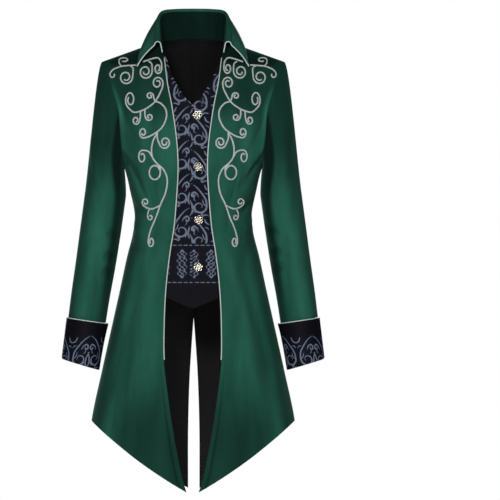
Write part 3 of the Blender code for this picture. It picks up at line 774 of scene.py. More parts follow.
# %% Thread finishes
def thread_finish(name, dark, light, roughness, metallic, turns, lay):
    """A twisted thread: fine stripes run round it along its own length, raised by a bump, with painted
    shade in the grooves between them.
    """
    material, tree, shader = start_finish(name)
    split = tree.nodes.new("ShaderNodeSeparateXYZ")
    tree.links.new(pattern_place(tree), split.inputs[0])
    around = add_math(tree, "MULTIPLY", split.outputs["X"], turns * 2 * math.pi)
    phase = add_math(tree, "MULTIPLY_ADD", split.outputs["Y"], lay, around)
    stripe = add_math(tree, "MULTIPLY_ADD", add_math(tree, "SINE", phase), 0.5, 0.5)
    # Painted shade: the dark colour lies in the grooves between the twist's turns, where the bump is
    # low.
    tree.links.new(add_mix(tree, stripe, dark, light), shader.inputs["Base Color"])
    set_sockets(shader, {"Roughness": roughness, "Metallic": metallic})
    set_bump(tree, shader, stripe, 0.0002, 0.6)
    return material


cord_finish = thread_finish(
    "silver cord", dark=(0.20, 0.24, 0.22), light=(0.47, 0.53, 0.49),
    roughness=0.5, metallic=0.0, turns=3, lay=2600.0,
)
braid_finish = thread_finish(
    "silver braid", dark=(0.13, 0.15, 0.145), light=(0.58, 0.62, 0.60),
    roughness=0.42, metallic=0.15, turns=2, lay=5200.0,
)
print("threads:", cord_finish.name, braid_finish.name)

# %% Plated metal, tarnished in patches
TARNISHED = (0.52, 0.47, 0.34)
BRIGHT = (0.86, 0.83, 0.74)
metal, tree, shader = start_finish("button metal")
place = object_place(tree)
tarnish = add_noise(tree, place, 420.0, detail=3.0)
metal_colour = add_mix(tree, add_step(tree, tarnish, 0.42, 0.62), TARNISHED, BRIGHT)
tree.links.new(metal_colour, shader.inputs["Base Color"])
shader.inputs["Metallic"].default_value = 1.0
tree.links.new(add_math(tree, "MULTIPLY_ADD", tarnish, 0.25, 0.14), shader.inputs["Roughness"])
set_bump(tree, shader, add_noise(tree, place, 1400.0), 0.00008, 0.5)
print("finishes:", [m.name for m in (velvet, satin, brocade, cord_finish, braid_finish, metal)])


# %% [markdown]
# ## Scrolls drawn with a few numbers
# The scrolls on such coats are an old pattern: a stem swings out, runs into a circle and winds up in
# it. They could be drawn point by point, but a scroll is really a stem and a circle, so it is kept as
# just that. The stem's end finds its own tangent on the circle, and a shrinking spiral winds on from
# there, with a hand of 1 for anticlockwise and -1 for clockwise. Sizes are in millimetres, as an
# embroiderer would mark them out.

# %% Stems and curls
Curl = namedtuple("Curl", "x z wide tall turns hand close", defaults=(0.28,))
Stroke = namedtuple("Stroke", "stem curl start_curl width", defaults=(None, None, 2.0))
CURL_POINTS = 26


def curl_points(came_from, curl):
    """A spiral that starts at the tangent from a point outside it."""
    away_x = (came_from[0] - curl.x) / curl.wide
    away_z = (came_from[1] - curl.z) / curl.tall
    distance = max(math.hypot(away_x, away_z), 1.0)
    start = math.atan2(away_z, away_x) + curl.hand * math.acos(1 / distance)
    count = max(round(CURL_POINTS * curl.turns), 4)
    points = []
    for k in range(count + 1):
        share = k / count
        angle = start + curl.hand * 2 * math.pi * curl.turns * share
        reach = 1 - (1 - curl.close) * share
        x = curl.x + curl.wide * reach * math.cos(angle)
        points.append((x, curl.z + curl.tall * reach * math.sin(angle)))
    return points


def smooth_line(points, step):
    """An even walk along a smooth curve through the points."""
    line = []
    ends = [points[0], *points, points[-1]]
    for a, b, c, d in zip(ends, ends[1:], ends[2:], ends[3:]):
        count = max(round(math.dist(b, c) / step), 1)
        for k in range(count):
            t = k / count
            line.append(tuple(
                b[i] + 0.5 * t * (c[i] - a[i] + t * (2 * a[i] - 5 * b[i] + 4 * c[i] - d[i]
                                                   + t * (3 * (b[i] - c[i]) + d[i] - a[i])))
                for i in (0, 1)
            ))
    return line + [tuple(points[-1])]


def stroke_line(stroke, step):
    points = list(stroke.stem)
    if stroke.start_curl:
        points = curl_points(points[0], stroke.start_curl)[::-1] + points
    if stroke.curl:
        points += curl_points(points[-1], stroke.curl)
    return smooth_line(points, step)


print("a curl's points:", len(curl_points((20, 0), Curl(0, 0, 9, 9, 1.5, 1))))

# %% [markdown]
# ## The woven figure
# The brocade's figure is one scrolling leaf in a cell of 46 by 76 mm, mirrored in every other column
# and dropped by half a cell there, as a loom repeats it. Below the waist a band of lace-like lozenges
# runs between two dashed lines. For every vertex the nearest strokes say how deep inside or how far
# outside the figure it is.

# %% One cell of the leaf, and its repeats
LEAF = (
    Stroke(((20, 36), (8, 28), (-4, 14), (-13, 0), (-15, -12)), Curl(1, -16, 16, 15, 1.1, 1, 0.30),
           width=2.1),
    Stroke(((3, 5), (7, 13), (14, 17)), Curl(14, 10, 5.5, 5.5, 0.8, -1), width=1.9),
    Stroke(((-14, -16), (-8, -9), (-6, 0)), width=1.3),
    Stroke(((8, -4), (13, 0), (13, 7)), width=1.2),
    Stroke(((23, -36), (17, -26), (18, -12), (23, 0)), width=1.9),
    Stroke(((17, -22), (12, -25), (10, -31)), width=1.2),
    Stroke(((-22, -37), (-13, -34), (-6, -37)), Curl(-6, -33, 4, 4, 0.7, 1), width=1.5),
    Stroke(((-22, 20), (-14, 24), (-10, 33)), width=1.7),
    Stroke(((-20, 8), (-16, 13), (-10, 14)), width=1.2),
)
CELL_WIDE = 46.0
CELL_TALL = 76.0
SAMPLE_STEP = 0.9
TIP_SHARE = 0.10
TIP_FULLNESS = 0.8


def tapered(stroke, shift=(0.0, 0.0), flip=1, weight=1.0):
    """Samples of a stroke as place and half width, thin at its ends."""
    line = stroke_line(stroke, SAMPLE_STEP)
    samples = []
    for k, (x, z) in enumerate(line):
        along = TIP_SHARE + (1 - 2 * TIP_SHARE) * k / len(line)
        swell = math.sin(math.pi * along) ** TIP_FULLNESS
        samples.append((shift[0] + flip * x, shift[1] + z, stroke.width * weight * swell))
    return samples


def leaf_cells(centre_x, centre_z, columns, rows, flip=1):
    samples = []
    for column in range(columns):
        for row in range(rows):
            x = centre_x + CELL_WIDE * column * flip
            z = centre_z + CELL_TALL * (row - 0.5 * (column % 2))
            for stroke in LEAF:
                samples += tapered(stroke, (x, z), flip if column % 2 else -flip)
    return samples


print("samples in one cell:", len(leaf_cells(0, 0, 1, 1)))

# %% The waist band of lozenges between dashed lines
BAND_TOP = -444.0
BAND_BOTTOM = -527.0
LOZENGE_HALF = 32.0
LOZENGE_WAVES = ((11.0, 0.0), (11.0, math.pi), (6.5, math.pi / 2), (6.5, -math.pi / 2))
LOZENGE_STEPS = 40
LOZENGE_SHARPNESS = 6
LACE_MESH = 14.5
LACE_WIDTH = 0.95
DASH = 9.0
DASH_GAP = 3.5
DASH_WIDTH = 1.15


def lozenge(centre_x):
    """Crossing waves that narrow to a point at both ends."""
    middle = (BAND_TOP + BAND_BOTTOM) / 2
    samples = []
    for reach, phase in LOZENGE_WAVES:
        for k in range(2 * LOZENGE_STEPS + 1):
            z = LOZENGE_HALF * (k / LOZENGE_STEPS - 1)
            narrowing = 1 - (z / LOZENGE_HALF) ** LOZENGE_SHARPNESS
            x = reach * narrowing * math.sin(math.pi * z / LACE_MESH + phase)
            samples.append((centre_x + x, middle + z, LACE_WIDTH))
    return samples


def dashes(z, first, last):
    count = round((last - first) / (DASH + DASH_GAP))
    starts = [first + k * (DASH + DASH_GAP) for k in range(count)]
    return [(start + along, z, DASH_WIDTH) for start in starts for along in range(int(DASH))]


def band(lozenges, first, last):
    samples = dashes(BAND_TOP, first, last) + dashes(BAND_BOTTOM, first, last)
    for centre in lozenges:
        samples += lozenge(centre)
    return samples


print("samples in one lozenge:", len(lozenge(0)))

# %% The figures of the waistcoat and the cuffs
LEAVES_END = BAND_TOP + 3
CUFF_PATTERN_X = 22
CUFF_PATTERN_Z = -683.0
CUFF_REPEATS = 7
CUFF_CELL_WIDE = CELL_WIDE * 0.93
CUFF_WEIGHT = 0.85


def above(samples, z):
    return [sample for sample in samples if sample[1] - sample[2] > z]


def cuff_figure(hand):
    samples = []
    for k in range(CUFF_REPEATS):
        shift = (CUFF_PATTERN_X + CUFF_CELL_WIDE * k, CUFF_PATTERN_Z)
        for stroke in LEAF:
            samples += tapered(stroke, shift, hand if k % 2 else -hand, CUFF_WEIGHT)
    return samples


VEST_FIGURE = {
    "left": above(leaf_cells(16, -418, 3, 6), LEAVES_END) + band((2, 41, 80), -7, 95),
    "right": above(leaf_cells(-27, -396, 3, 6, flip=-1), LEAVES_END) + band((-24, -63), -95, 20),
}
CUFF_FIGURE = {word: cuff_figure(side) for word, side in SIDES}
print("figure samples:", {word: len(samples) for word, samples in VEST_FIGURE.items()})

# %% Give each vertex its distance to the figure
NEAREST = 6


def weave_figure(bm, spots, samples):
    """Writes on every vertex, in metres, how deep inside the figure it lies, negative outside."""
    tree = KDTree(len(samples))
    for index, (x, z, _) in enumerate(samples):
        tree.insert((x, z, 0), index)
    tree.balance()
    places = [spots[vertex][2] for vertex in bm.verts]
    layer = bm.verts.layers.float.new(FIGURE)
    for vertex, (u, v) in zip(bm.verts, places):
        near = tree.find_n((u * 1000, v * 1000, 0), NEAREST)
        vertex[layer] = max(samples[index][2] - gap for _, index, gap in near) / 1000


print("strokes compared for each vertex:", NEAREST)

# %% [markdown]
# ## Creases placed one by one
# Velvet is stiff and springy, so it hangs in a few soft, wide troughs and ridges and no sharp folds:
# drags that run from the armhole to the bust, a nipped waist, a bent elbow. A simulation would
# scatter them at random, so each is one row of a table: two ends by turn and height, a width and a
# depth, uneven as the real ones are.

# %% How far the creases push a place in or out
Crease = namedtuple("Crease", "turn_a z_a turn_b z_b width depth")
ROUND_REACH = 0.165
CREASE_GAIN = 1.5
CREASE_ENDS = 3.0
CREASE_FADE = 0.12


def crease_push(creases, turn, z, reach=ROUND_REACH):
    """The depth of all creases at a place, each one a soft line that fades out past its ends."""
    push = 0.0
    for crease in creases:
        ax, bx = math.radians(crease.turn_a) * reach, math.radians(crease.turn_b) * reach
        along = Vector((bx - ax, crease.z_b - crease.z_a))
        away = Vector((turn * reach - ax, z - crease.z_a))
        share = min(max(away.dot(along) / along.length_squared, 0.0), 1.0)
        gap = (away - along * share).length / crease.width
        if gap < CREASE_ENDS:
            fade = math.sin(math.pi * (CREASE_FADE + (1 - 2 * CREASE_FADE) * share))
            push += CREASE_GAIN * crease.depth * fade * math.exp(-gap * gap)
    return push


print("a crease fades out at this many widths:", CREASE_ENDS)

# %% The creases of the fronts and backs
FRONT_CREASES = {
    "left": (
        Crease(60, -0.115, 44, -0.245, 0.013, -0.0028),
        Crease(66, -0.175, 50, -0.300, 0.012, 0.0026),
        Crease(72, -0.235, 40, -0.330, 0.014, -0.0028),
        Crease(84, -0.335, 38, -0.395, 0.013, -0.0034),
        Crease(86, -0.385, 34, -0.425, 0.011, 0.0028),
        Crease(80, -0.425, 44, -0.470, 0.014, -0.0026),
        Crease(34, -0.500, 40, -0.800, 0.022, 0.0030),
        Crease(52, -0.560, 57, -0.830, 0.020, -0.0032),
        Crease(24, -0.620, 20, -0.880, 0.020, -0.0026),
        Crease(24, -0.190, 19, -0.370, 0.008, -0.0013),
        Crease(31, -0.250, 25, -0.420, 0.009, 0.0015),
        Crease(40, -0.280, 31, -0.440, 0.008, -0.0014),
    ),
    "right": (
        Crease(58, -0.105, 40, -0.230, 0.014, -0.0026),
        Crease(67, -0.190, 46, -0.285, 0.011, 0.0028),
        Crease(74, -0.225, 46, -0.345, 0.013, -0.0030),
        Crease(86, -0.350, 42, -0.385, 0.012, -0.0030),
        Crease(82, -0.395, 30, -0.440, 0.013, 0.0026),
        Crease(84, -0.440, 50, -0.455, 0.012, -0.0028),
        Crease(32, -0.540, 36, -0.760, 0.021, 0.0032),
        Crease(48, -0.520, 60, -0.800, 0.022, -0.0030),
        Crease(22, -0.660, 24, -0.860, 0.018, -0.0028),
        Crease(22, -0.220, 18, -0.390, 0.009, -0.0014),
        Crease(33, -0.240, 26, -0.400, 0.008, 0.0014),
        Crease(42, -0.310, 33, -0.460, 0.009, -0.0013),
    ),
}
BACK_CREASES = {
    "left": (
        Crease(120, -0.120, 140, -0.250, 0.015, -0.0026),
        Crease(112, -0.200, 132, -0.320, 0.013, 0.0024),
        Crease(96, -0.350, 140, -0.385, 0.013, -0.0032),
        Crease(94, -0.400, 150, -0.430, 0.013, 0.0026),
        Crease(150, -0.520, 146, -0.860, 0.022, 0.0032),
        Crease(128, -0.560, 122, -0.820, 0.021, -0.0030),
    ),
    "right": (
        Crease(122, -0.135, 144, -0.235, 0.014, -0.0028),
        Crease(108, -0.215, 136, -0.305, 0.014, 0.0024),
        Crease(98, -0.360, 146, -0.400, 0.012, -0.0030),
        Crease(96, -0.415, 138, -0.420, 0.013, 0.0028),
        Crease(152, -0.560, 150, -0.820, 0.020, 0.0030),
        Crease(126, -0.530, 118, -0.850, 0.022, -0.0032),
    ),
}
print("creases:", sum(len(c) for t in (FRONT_CREASES, BACK_CREASES) for c in t.values()))

# %% Seams sink a little between the sheets
SEAM_DIP = 0.0006
SEAM_REACH = 0.0022
COAT_WALL = 0.0020
SEAM_GAP = -0.0003
SEAM_CALM = 0.024


def seam_dip(share, length, at_start=True, at_end=True):
    """How far cloth sinks beside a seam at one or both of its edges."""
    dip = 0.0
    if at_start:
        dip += math.exp(-((share * length / SEAM_REACH) ** 2))
    if at_end:
        dip += math.exp(-(((1 - share) * length / SEAM_REACH) ** 2))
    return -SEAM_DIP * dip


def ramp(value, low, high):
    """0 at low and 1 at high, with a soft step between."""
    share = min(max((value - low) / (high - low), 0.0), 1.0)
    return share * share * (3 - 2 * share)


def bump_at(value, middle, width):
    return math.exp(-(((value - middle) / width) ** 2))


def calm_near(distance):
    """0 on a seam and 1 away from it: stitches hold cloth flat, so creases die out towards them."""
    return ramp(distance, 0.0, SEAM_CALM)


def paint_light_on_vertices(bm, spots, lay):
    """Writes on every vertex its painted light: below 0 the velvet gets painted shade and above 0 a
    painted highlight.
    """
    painted_lights = [lay(*spots[vertex]) for vertex in bm.verts]
    layer = bm.verts.layers.float.new(PAINTED_LIGHT_LAYER)
    for vertex, value in zip(bm.verts, painted_lights):
        vertex[layer] = value


def push_out(spots, amount):
    """Moves each vertex along its own normal by what amount() says for its place."""
    moves = [(vertex, vertex.normal * amount(*spot)) for vertex, spot in spots.items()]
    for vertex, move in moves:
        vertex.co += move


print("a seam's dip, in millimetres:", 1000 * SEAM_DIP)

# %% Where shade and highlights are painted on the velvet
Patch = namedtuple("Patch", "name amount height from_seam from_edge", defaults=(None, None))


def grows(low, high):
    return lambda value: ramp(value, low, high)


def peaks(middle, width):
    return lambda value: bump_at(value, middle, width)


def painted_shading(patches, height, from_seam, from_edge):
    """What the painted shade and highlight patches add up to at a place. Each fades by the measures that
    its row names.
    """
    total = 0.0
    for patch in patches:
        part = patch.amount * patch.height(height)
        if patch.from_seam:
            part *= patch.from_seam(from_seam)
        if patch.from_edge:
            part *= patch.from_edge(from_edge)
        total += part
    return total


print("halfway up a fade:", grows(0, 1)(0.5))

# %% [markdown]
# ## The two fronts
# Each front is one panel from the shoulder to the pointed tail. Its front edge bows from the neck to
# the waist and swings away to the tip, and its other edge is the armhole and then the side seam. The
# rows follow the cosine near the shoulder, where the yoke turns over, so the vault stays evenly
# covered.

# %% Rows from the shoulder seam to the hem
YOKE_ROWS = 64
SKIRT_ROWS = 124
YOKE_LENGTH = 0.36
SKIRT_LENGTH = 0.62
YOKE_CLEAR = 0.004
SKIRT_CLEAR = 0.01


def drop_rows():
    yoke = [-math.cos(math.pi / 2 * share) for share in spread(YOKE_ROWS, YOKE_LENGTH)]
    skirt = [share for share in spread(SKIRT_ROWS, SKIRT_LENGTH) if share > SKIRT_CLEAR]
    return [drop for drop in yoke if drop < -YOKE_CLEAR] + [0.0] + skirt


DROPS = drop_rows()
print("rows:", len(DROPS))

# %% Where each place of a front lies
FRONT_WIDTH = 0.27
NEAR_FRONT = 0.3
front_starts = {drop: edge_turn(front_edge_at, drop, NEAR_FRONT) for drop in DROPS}


def front_place(share, drop):
    """A place from the front edge, 0, to the armhole or side seam, 1."""
    inner = front_starts[drop]
    outer = armhole_turn(-drop, False) if drop < 0 else SIDE_SEAM
    turn = inner + (outer - inner) * share
    point = coat_point(turn, drop) + Vector((0, -SEAM_GAP / 2, 0))
    return point, (turn, point.z)


print("front edge at the armpit's height:", [round(value, 4) for value in front_place(0, 0.0)[0]])

# %% How creases, seams and the facing's fold move a front
PIPED_TO_Z = -0.704
FACING_IN = 0.0070
FACING_RIDGE = 0.0004
FACING_HALF = 0.0014
FACING_GROWS = 0.02
FACING_LINE_IN = 0.0092
FRONT_EDGE_FREE = 0.006


def front_push(word, share, drop, spot):
    inward = share * FRONT_WIDTH
    calm = calm_near(FRONT_WIDTH - inward) * calm_near(inward + FRONT_EDGE_FREE)
    calm *= calm_near((1 + drop) * YOKE_LENGTH)
    facing = min(max((PIPED_TO_Z - spot[1]) / FACING_GROWS, 0.0), 1.0)
    ridge = FACING_RIDGE * facing * bump_at(inward, FACING_IN, FACING_HALF)
    dip = seam_dip(share, FRONT_WIDTH, at_start=False)
    return crease_push(FRONT_CREASES[word], *spot) * calm + dip - ridge


print("push at the waist:", round(front_push("left", 0.5, 0.2, (0.9, WAIST_Z)), 5))

# %% Painted shade and highlights on a front
# Each patch is painted into the velvet's colour: painted shade where its amount is below 0, a painted
# highlight where it is above 0.
FRONT_PATCHES = (
    Patch("dark chest", -0.58, grows(-0.21, -0.12)),
    Patch("dark beside the armhole", -0.50, peaks(-0.25, 0.07), peaks(0.0, 0.011)),
    Patch("shine along the armhole", 1.25, peaks(-0.138, 0.036), peaks(0.015, 0.015)),
    Patch("dark hem", -0.60, grows(-0.62, -0.88)),
    Patch("dark side seam", -0.35, grows(-0.24, -0.40), peaks(0.0, 0.035)),
    Patch("dark under the collar", -1.00, grows(-0.050, -0.010), grows(0.045, 0.075)),
    Patch("line beside the facing", -0.22, grows(PIPED_TO_Z, PIPED_TO_Z - FACING_GROWS), None,
          peaks(FACING_LINE_IN, 0.0013)),
)
SKIRT_SHINE = 0.40
SHINE_FROM_Z = -0.38
SHINE_FULL_Z = -0.50
SHINE_WIDTH = 0.030
SHINE_IN = 0.03
SHINE_SWING = 0.12
SHINE_TOP_Z = -0.45
SHINE_DROP = 0.40


def front_painted_light(share, drop, spot):
    """The painted shade and highlight patches, and a painted highlight that swings away from the front
    edge down the skirt.
    """
    inward, z = share * FRONT_WIDTH, spot[1]
    swing = SHINE_IN + SHINE_SWING * min(max((SHINE_TOP_Z - z) / SHINE_DROP, 0.0), 1.0)
    skirt = SKIRT_SHINE * ramp(z, SHINE_FROM_Z, SHINE_FULL_Z) * bump_at(inward, swing, SHINE_WIDTH)
    return painted_shading(FRONT_PATCHES, z, FRONT_WIDTH - inward, inward) + skirt


print("front patches:", [patch.name for patch in FRONT_PATCHES])

# %% Make the fronts
FRONT_COLUMNS = 60
FACING_STEPS = (0.0080, FACING_LINE_IN)


def make_front(word, side):
    columns = spread(FRONT_COLUMNS, FRONT_WIDTH, extra=[step / FRONT_WIDTH for step in FACING_STEPS])
    bm, spots = grid_sheet(columns, DROPS, mirrored(front_place, side))
    face_outwards(bm)
    push_out(spots, partial(front_push, word))
    paint_light_on_vertices(bm, spots, front_painted_light)
    piece = into_scene(f"coat_front_{word}", bm, velvet, satin)
    give_wall(piece, COAT_WALL)
    on_coat(piece, "velvet", f"front_{word}")
    return piece


fronts = {word: make_front(word, side) for word, side in SIDES}
print("front faces:", len(fronts["left"].data.polygons))

# %% [markdown]
# ## The two backs and their lining
# The backs meet in a centre seam that opens into the vent. Their top edge is the shoulder seam and
# then the neckline, so one column has to land on the corner between the two. Between the tails and
# inside the collar the black lining shows, so each back has a lining sheet just under it.

# %% Where each place of a back lies
BACK_WIDTH = 0.27
CENTRE_SEAM_FREE = 0.004
back_starts = {
    drop: edge_turn(vent_edge_at, drop, CENTRE_BACK) if drop > 0 else CENTRE_BACK for drop in DROPS
}
top_armhole = armhole_turn(1.0, True)


def back_place(share, drop):
    """A place from the centre seam or vent, 0, to the armhole or side seam, 1."""
    if drop < 0:
        top_turn = CENTRE_BACK + (top_armhole - CENTRE_BACK) * share
        turn = CENTRE_BACK + (armhole_turn(-drop, True) - CENTRE_BACK) * share
        drop *= neck_back_share(top_turn)
    else:
        inner = back_starts[drop]
        turn = inner + (SIDE_SEAM - inner) * share
    point = coat_point(turn, drop) + Vector((SEAM_GAP / 2, SEAM_GAP / 2, 0))
    return point, (turn, point.z)


def back_creases(word, share, drop, spot):
    calm = calm_near((1 - share) * BACK_WIDTH) * calm_near(share * BACK_WIDTH + CENTRE_SEAM_FREE)
    return crease_push(BACK_CREASES[word], *spot) * calm * calm_near((1 + drop) * YOKE_LENGTH)


def back_push(word, share, drop, spot):
    return back_creases(word, share, drop, spot) + seam_dip(share, BACK_WIDTH)


print("vent's half opening at the hem:", round(back_place(0, 1.0)[0].x, 4))

# %% Painted shade and highlights on a back
# Each patch paints shade where its amount is below 0 and a highlight where it is above 0; the one under
# the collar paints the shadow of the collar's fall.
BACK_PATCHES = (
    Patch("shine on the shoulder blade", 0.50, peaks(-0.138, 0.036), peaks(0.015, 0.015)),
    Patch("dark upper back", -0.38, grows(-0.32, -0.14)),
    Patch("dark hem", -0.50, grows(-0.62, -0.90)),
    Patch("dark side seam", -0.35, grows(-0.24, -0.40), peaks(0.0, 0.035)),
    Patch("dark centre seam", -0.35, grows(-0.62, -0.58), None, peaks(0.0, 0.0035)),
)
UNDER_COLLAR = Patch("dark under the collar", -1.20, grows(0.92, 0.98), grows(0.09, 0.12))


def back_painted_light(share, drop, spot):
    """The painted shade and highlight patches by height, and the painted shade under the collar by how
    near the shoulder seam is.
    """
    from_side, from_centre = (1 - share) * BACK_WIDTH, share * BACK_WIDTH
    shade = painted_shading((UNDER_COLLAR,), -drop, from_side, from_centre)
    return shade + painted_shading(BACK_PATCHES, spot[1], from_side, from_centre)


print("back patches:", [patch.name for patch in BACK_PATCHES])

# %% Make the backs
BACK_COLUMNS = 60


def make_back(word, side):
    columns = spread(BACK_COLUMNS, BACK_WIDTH, extra=(NECK_COLUMN,))
    bm, spots = grid_sheet(columns, DROPS, mirrored(back_place, side))
    face_outwards(bm)
    push_out(spots, partial(back_push, word))
    paint_light_on_vertices(bm, spots, back_painted_light)
    piece = into_scene(f"coat_back_{word}", bm, velvet, satin)
    give_wall(piece, COAT_WALL)
    on_coat(piece, "velvet", f"back_{word}")
    return piece


backs = {word: make_back(word, side) for word, side in SIDES}
print("back faces:", len(backs["left"].data.polygons))

# %% Make the back lining
LINING_DEPTH = 0.0028
LINING_WALL = 0.0010
LINING_INNER = 0.006
LINING_OUTER = 0.90
LINING_COLUMNS = 30
LINING_ROWS_IN = 4


def lining_push(word, share, drop, spot):
    return back_creases(word, share, drop, spot) - LINING_DEPTH


def make_back_lining(word, side):
    span = LINING_OUTER - LINING_INNER
    columns = [LINING_INNER + span * k / LINING_COLUMNS for k in range(LINING_COLUMNS + 1)]
    drops = DROPS[LINING_ROWS_IN:-LINING_ROWS_IN:2]
    bm, spots = grid_sheet(columns, drops, mirrored(back_place, side))
    face_outwards(bm)
    push_out(spots, partial(lining_push, word))
    piece = into_scene(f"back_lining_{word}", bm, satin, satin)
    give_wall(piece, LINING_WALL, edge=EDGE_SOFTNESS / 2)
    on_coat(piece, "lining", f"lining_back_{word}")
    return piece


linings = {word: make_back_lining(word, side) for word, side in SIDES}
print("lining faces:", len(linings["left"].data.polygons))

# %% [markdown]
# ## Sleeves in two pieces
# A tailored sleeve has a wide top piece and a narrow under piece, joined down the front and back of
# the arm. Its head is eased into the armhole, so the cloth leaves the armhole's edge and flows over
# to the arm. The head is a smooth blend between the armhole and a ring at the biceps, and the arm
# below is a slim bent tube.

# %% The sleeve's rings down the arm
ArmRing = namedtuple("ArmRing", "z x y half_width half_depth tilt")
ARM_RINGS = (
    ArmRing(-0.720, 0.2535, -0.034, 0.0412, 0.0465, 13.5),
    ArmRing(-0.612, 0.2385, -0.018, 0.0428, 0.0500, 12.0),
    ArmRing(-0.558, 0.2310, -0.009, 0.0437, 0.0530, 11.0),
    ArmRing(-0.486, 0.2195, 0.001, 0.0452, 0.0570, 10.0),
    ArmRing(-0.414, 0.2090, 0.004, 0.0462, 0.0600, 9.0),
    ArmRing(-0.330, 0.1975, 0.003, 0.0465, 0.0640, 9.0),
)
arm_x_at = smooth_curve(ARM_RINGS, "x")
arm_y_at = smooth_curve(ARM_RINGS, "y")
arm_width_at = smooth_curve(ARM_RINGS, "half_width")
arm_depth_at = smooth_curve(ARM_RINGS, "half_depth")
arm_tilt_at = smooth_curve(ARM_RINGS, "tilt")
STEP = 1e-4


def normal_of(surface, a, b):
    b = min(max(b, -1 + 2 * STEP), 1 - 2 * STEP)
    along = surface(a + STEP, b) - surface(a - STEP, b)
    down = surface(a, b + STEP) - surface(a, b - STEP)
    return down.cross(along).normalized()


def arm_point(turn, z, grow=0.0):
    """The sleeve's surface round the arm: turn is 0 outside and a quarter turn in front."""
    tilt = math.radians(arm_tilt_at(z))
    across = (arm_width_at(z) + grow) * math.cos(turn)
    return Vector((
        arm_x_at(z) + across * math.cos(tilt),
        arm_y_at(z) - (arm_depth_at(z) + grow) * math.sin(turn),
        z + across * math.sin(tilt),
    ))


print("sleeve's middle at the elbow:", round(arm_x_at(-0.45), 4), round(arm_y_at(-0.45), 4))

# %% How the sleeve's head leaves the armhole
BICEPS_Z = -0.330
SLEEVE_HEAD_REACH = 0.040
SLEEVE_END_PULL = 0.8
SLEEVE_SEAM_GAP = -0.0002
UNDERARM_STARTS = 0.10
UNDERARM_FULL = 0.85
TURN_LOOK = 0.02
DOWN_LOOK = 0.01


def armhole_place(turn):
    share = (1 + math.cos(turn)) / 2
    return armhole_turn(share, math.sin(turn) < 0), -share


def underarm(turn):
    """0 over the shoulder and 1 under the arm, where the sleeve folds back on the body."""
    return ramp(-math.cos(turn), UNDERARM_STARTS, UNDERARM_FULL)


def head_rail(turn):
    """A place on the armhole's edge, where it meets the arm, and the ways between them."""
    place = armhole_place(turn)
    normal = normal_of(coat_point, *place)
    ahead = coat_point(*armhole_place(turn + TURN_LOOK))
    behind = coat_point(*armhole_place(turn - TURN_LOOK))
    outward = (ahead - behind).cross(normal).normalized()
    if outward.x + max(-math.cos(turn), 0.0) * outward.z < 0:
        outward.negate()
    under = underarm(turn)
    start = coat_point(*place) + (outward + normal * under) * SLEEVE_SEAM_GAP
    end = arm_point(turn, BICEPS_Z)
    way = (arm_point(turn, BICEPS_Z - DOWN_LOOK) - end).normalized()
    leave = outward * SLEEVE_HEAD_REACH * (1 + math.cos(turn)) / 2 * (1 - under)
    return start, end, leave, way * SLEEVE_END_PULL * (end - start).length


def along_rail(rail, t):
    return sum((part * weight for part, weight in zip(rail, end_weights(t))), Vector())


print("head's length over the shoulder:", round((head_rail(0.0)[1] - head_rail(0.0)[0]).length, 4))

# %% The sleeve's two parts and their creases
SEAM_SHARE = 0.35
FRONT_SEAM_TURN = math.acos(2 * SEAM_SHARE - 1)
SleevePart = namedtuple("SleevePart", "name first last columns width length area")
SLEEVE_PARTS = (
    SleevePart("top", -FRONT_SEAM_TURN, FRONT_SEAM_TURN, 62, 0.21, 0.66, 0.115),
    SleevePart("under", FRONT_SEAM_TURN, 2 * math.pi - FRONT_SEAM_TURN, 40, 0.15, 0.52, 0.062),
)
SLEEVE_CREASES = {
    "left": (
        Crease(60, -0.150, 110, -0.290, 0.012, -0.0030),
        Crease(30, -0.190, 100, -0.330, 0.011, 0.0026),
        Crease(150, -0.400, 70, -0.440, 0.010, -0.0030),
        Crease(160, -0.450, 60, -0.470, 0.011, -0.0034),
        Crease(150, -0.500, 90, -0.480, 0.010, -0.0026),
        Crease(200, -0.420, 260, -0.470, 0.011, -0.0028),
        Crease(100, -0.560, 60, -0.660, 0.012, -0.0022),
    ),
    "right": (
        Crease(70, -0.160, 112, -0.300, 0.013, -0.0028),
        Crease(20, -0.210, 90, -0.340, 0.011, 0.0028),
        Crease(150, -0.415, 60, -0.430, 0.011, -0.0032),
        Crease(155, -0.455, 75, -0.485, 0.010, -0.0030),
        Crease(165, -0.490, 80, -0.520, 0.010, -0.0026),
        Crease(200, -0.440, 270, -0.460, 0.012, -0.0028),
        Crease(95, -0.580, 50, -0.650, 0.012, -0.0024),
    ),
}
print("sleeve creases:", {word: len(creases) for word, creases in SLEEVE_CREASES.items()})

# %% Painted shade and highlights on a sleeve
SLEEVE_SHINE = 0.55
SLEEVE_TOP_DARK = 0.60
SLEEVE_INNER_DARK = 1.15
LOW_EASE = 0.5


def sleeve_painted_light(share, down, spot):
    """Painted shade towards the body and over the shoulder, with a painted highlight along the outer arm
    below.
    """
    turn, z = spot
    border = -0.10 + 0.40 * ramp(z, -0.22, -0.36)
    inner = ramp(-math.cos(turn), border, border + 0.6) * ramp(z, -0.07, -0.13)
    inner *= 1 - LOW_EASE * ramp(z, -0.45, -0.62)
    shine = bump_at(math.cos(turn), 0.25, 0.40) * abs(math.sin(turn)) * ramp(z, -0.28, -0.42)
    top = ramp(z, -0.42, -0.20)
    return SLEEVE_SHINE * shine - SLEEVE_TOP_DARK * top - SLEEVE_INNER_DARK * inner


print("lay inside the elbow:", round(sleeve_painted_light(0, 0, (math.pi, -0.45)), 3))

# %% Make the sleeves
HEAD_ROWS = 44
ARM_ROWS = 84
HEAD_LENGTH = 0.22
HEAD_ENDS = 0.995
SLEEVE_END_Z = -0.688
ARM_LENGTH = SLEEVE_END_Z - BICEPS_Z
ARM_REACH = 0.052
SLEEVE_SEAM_FREE = 0.008


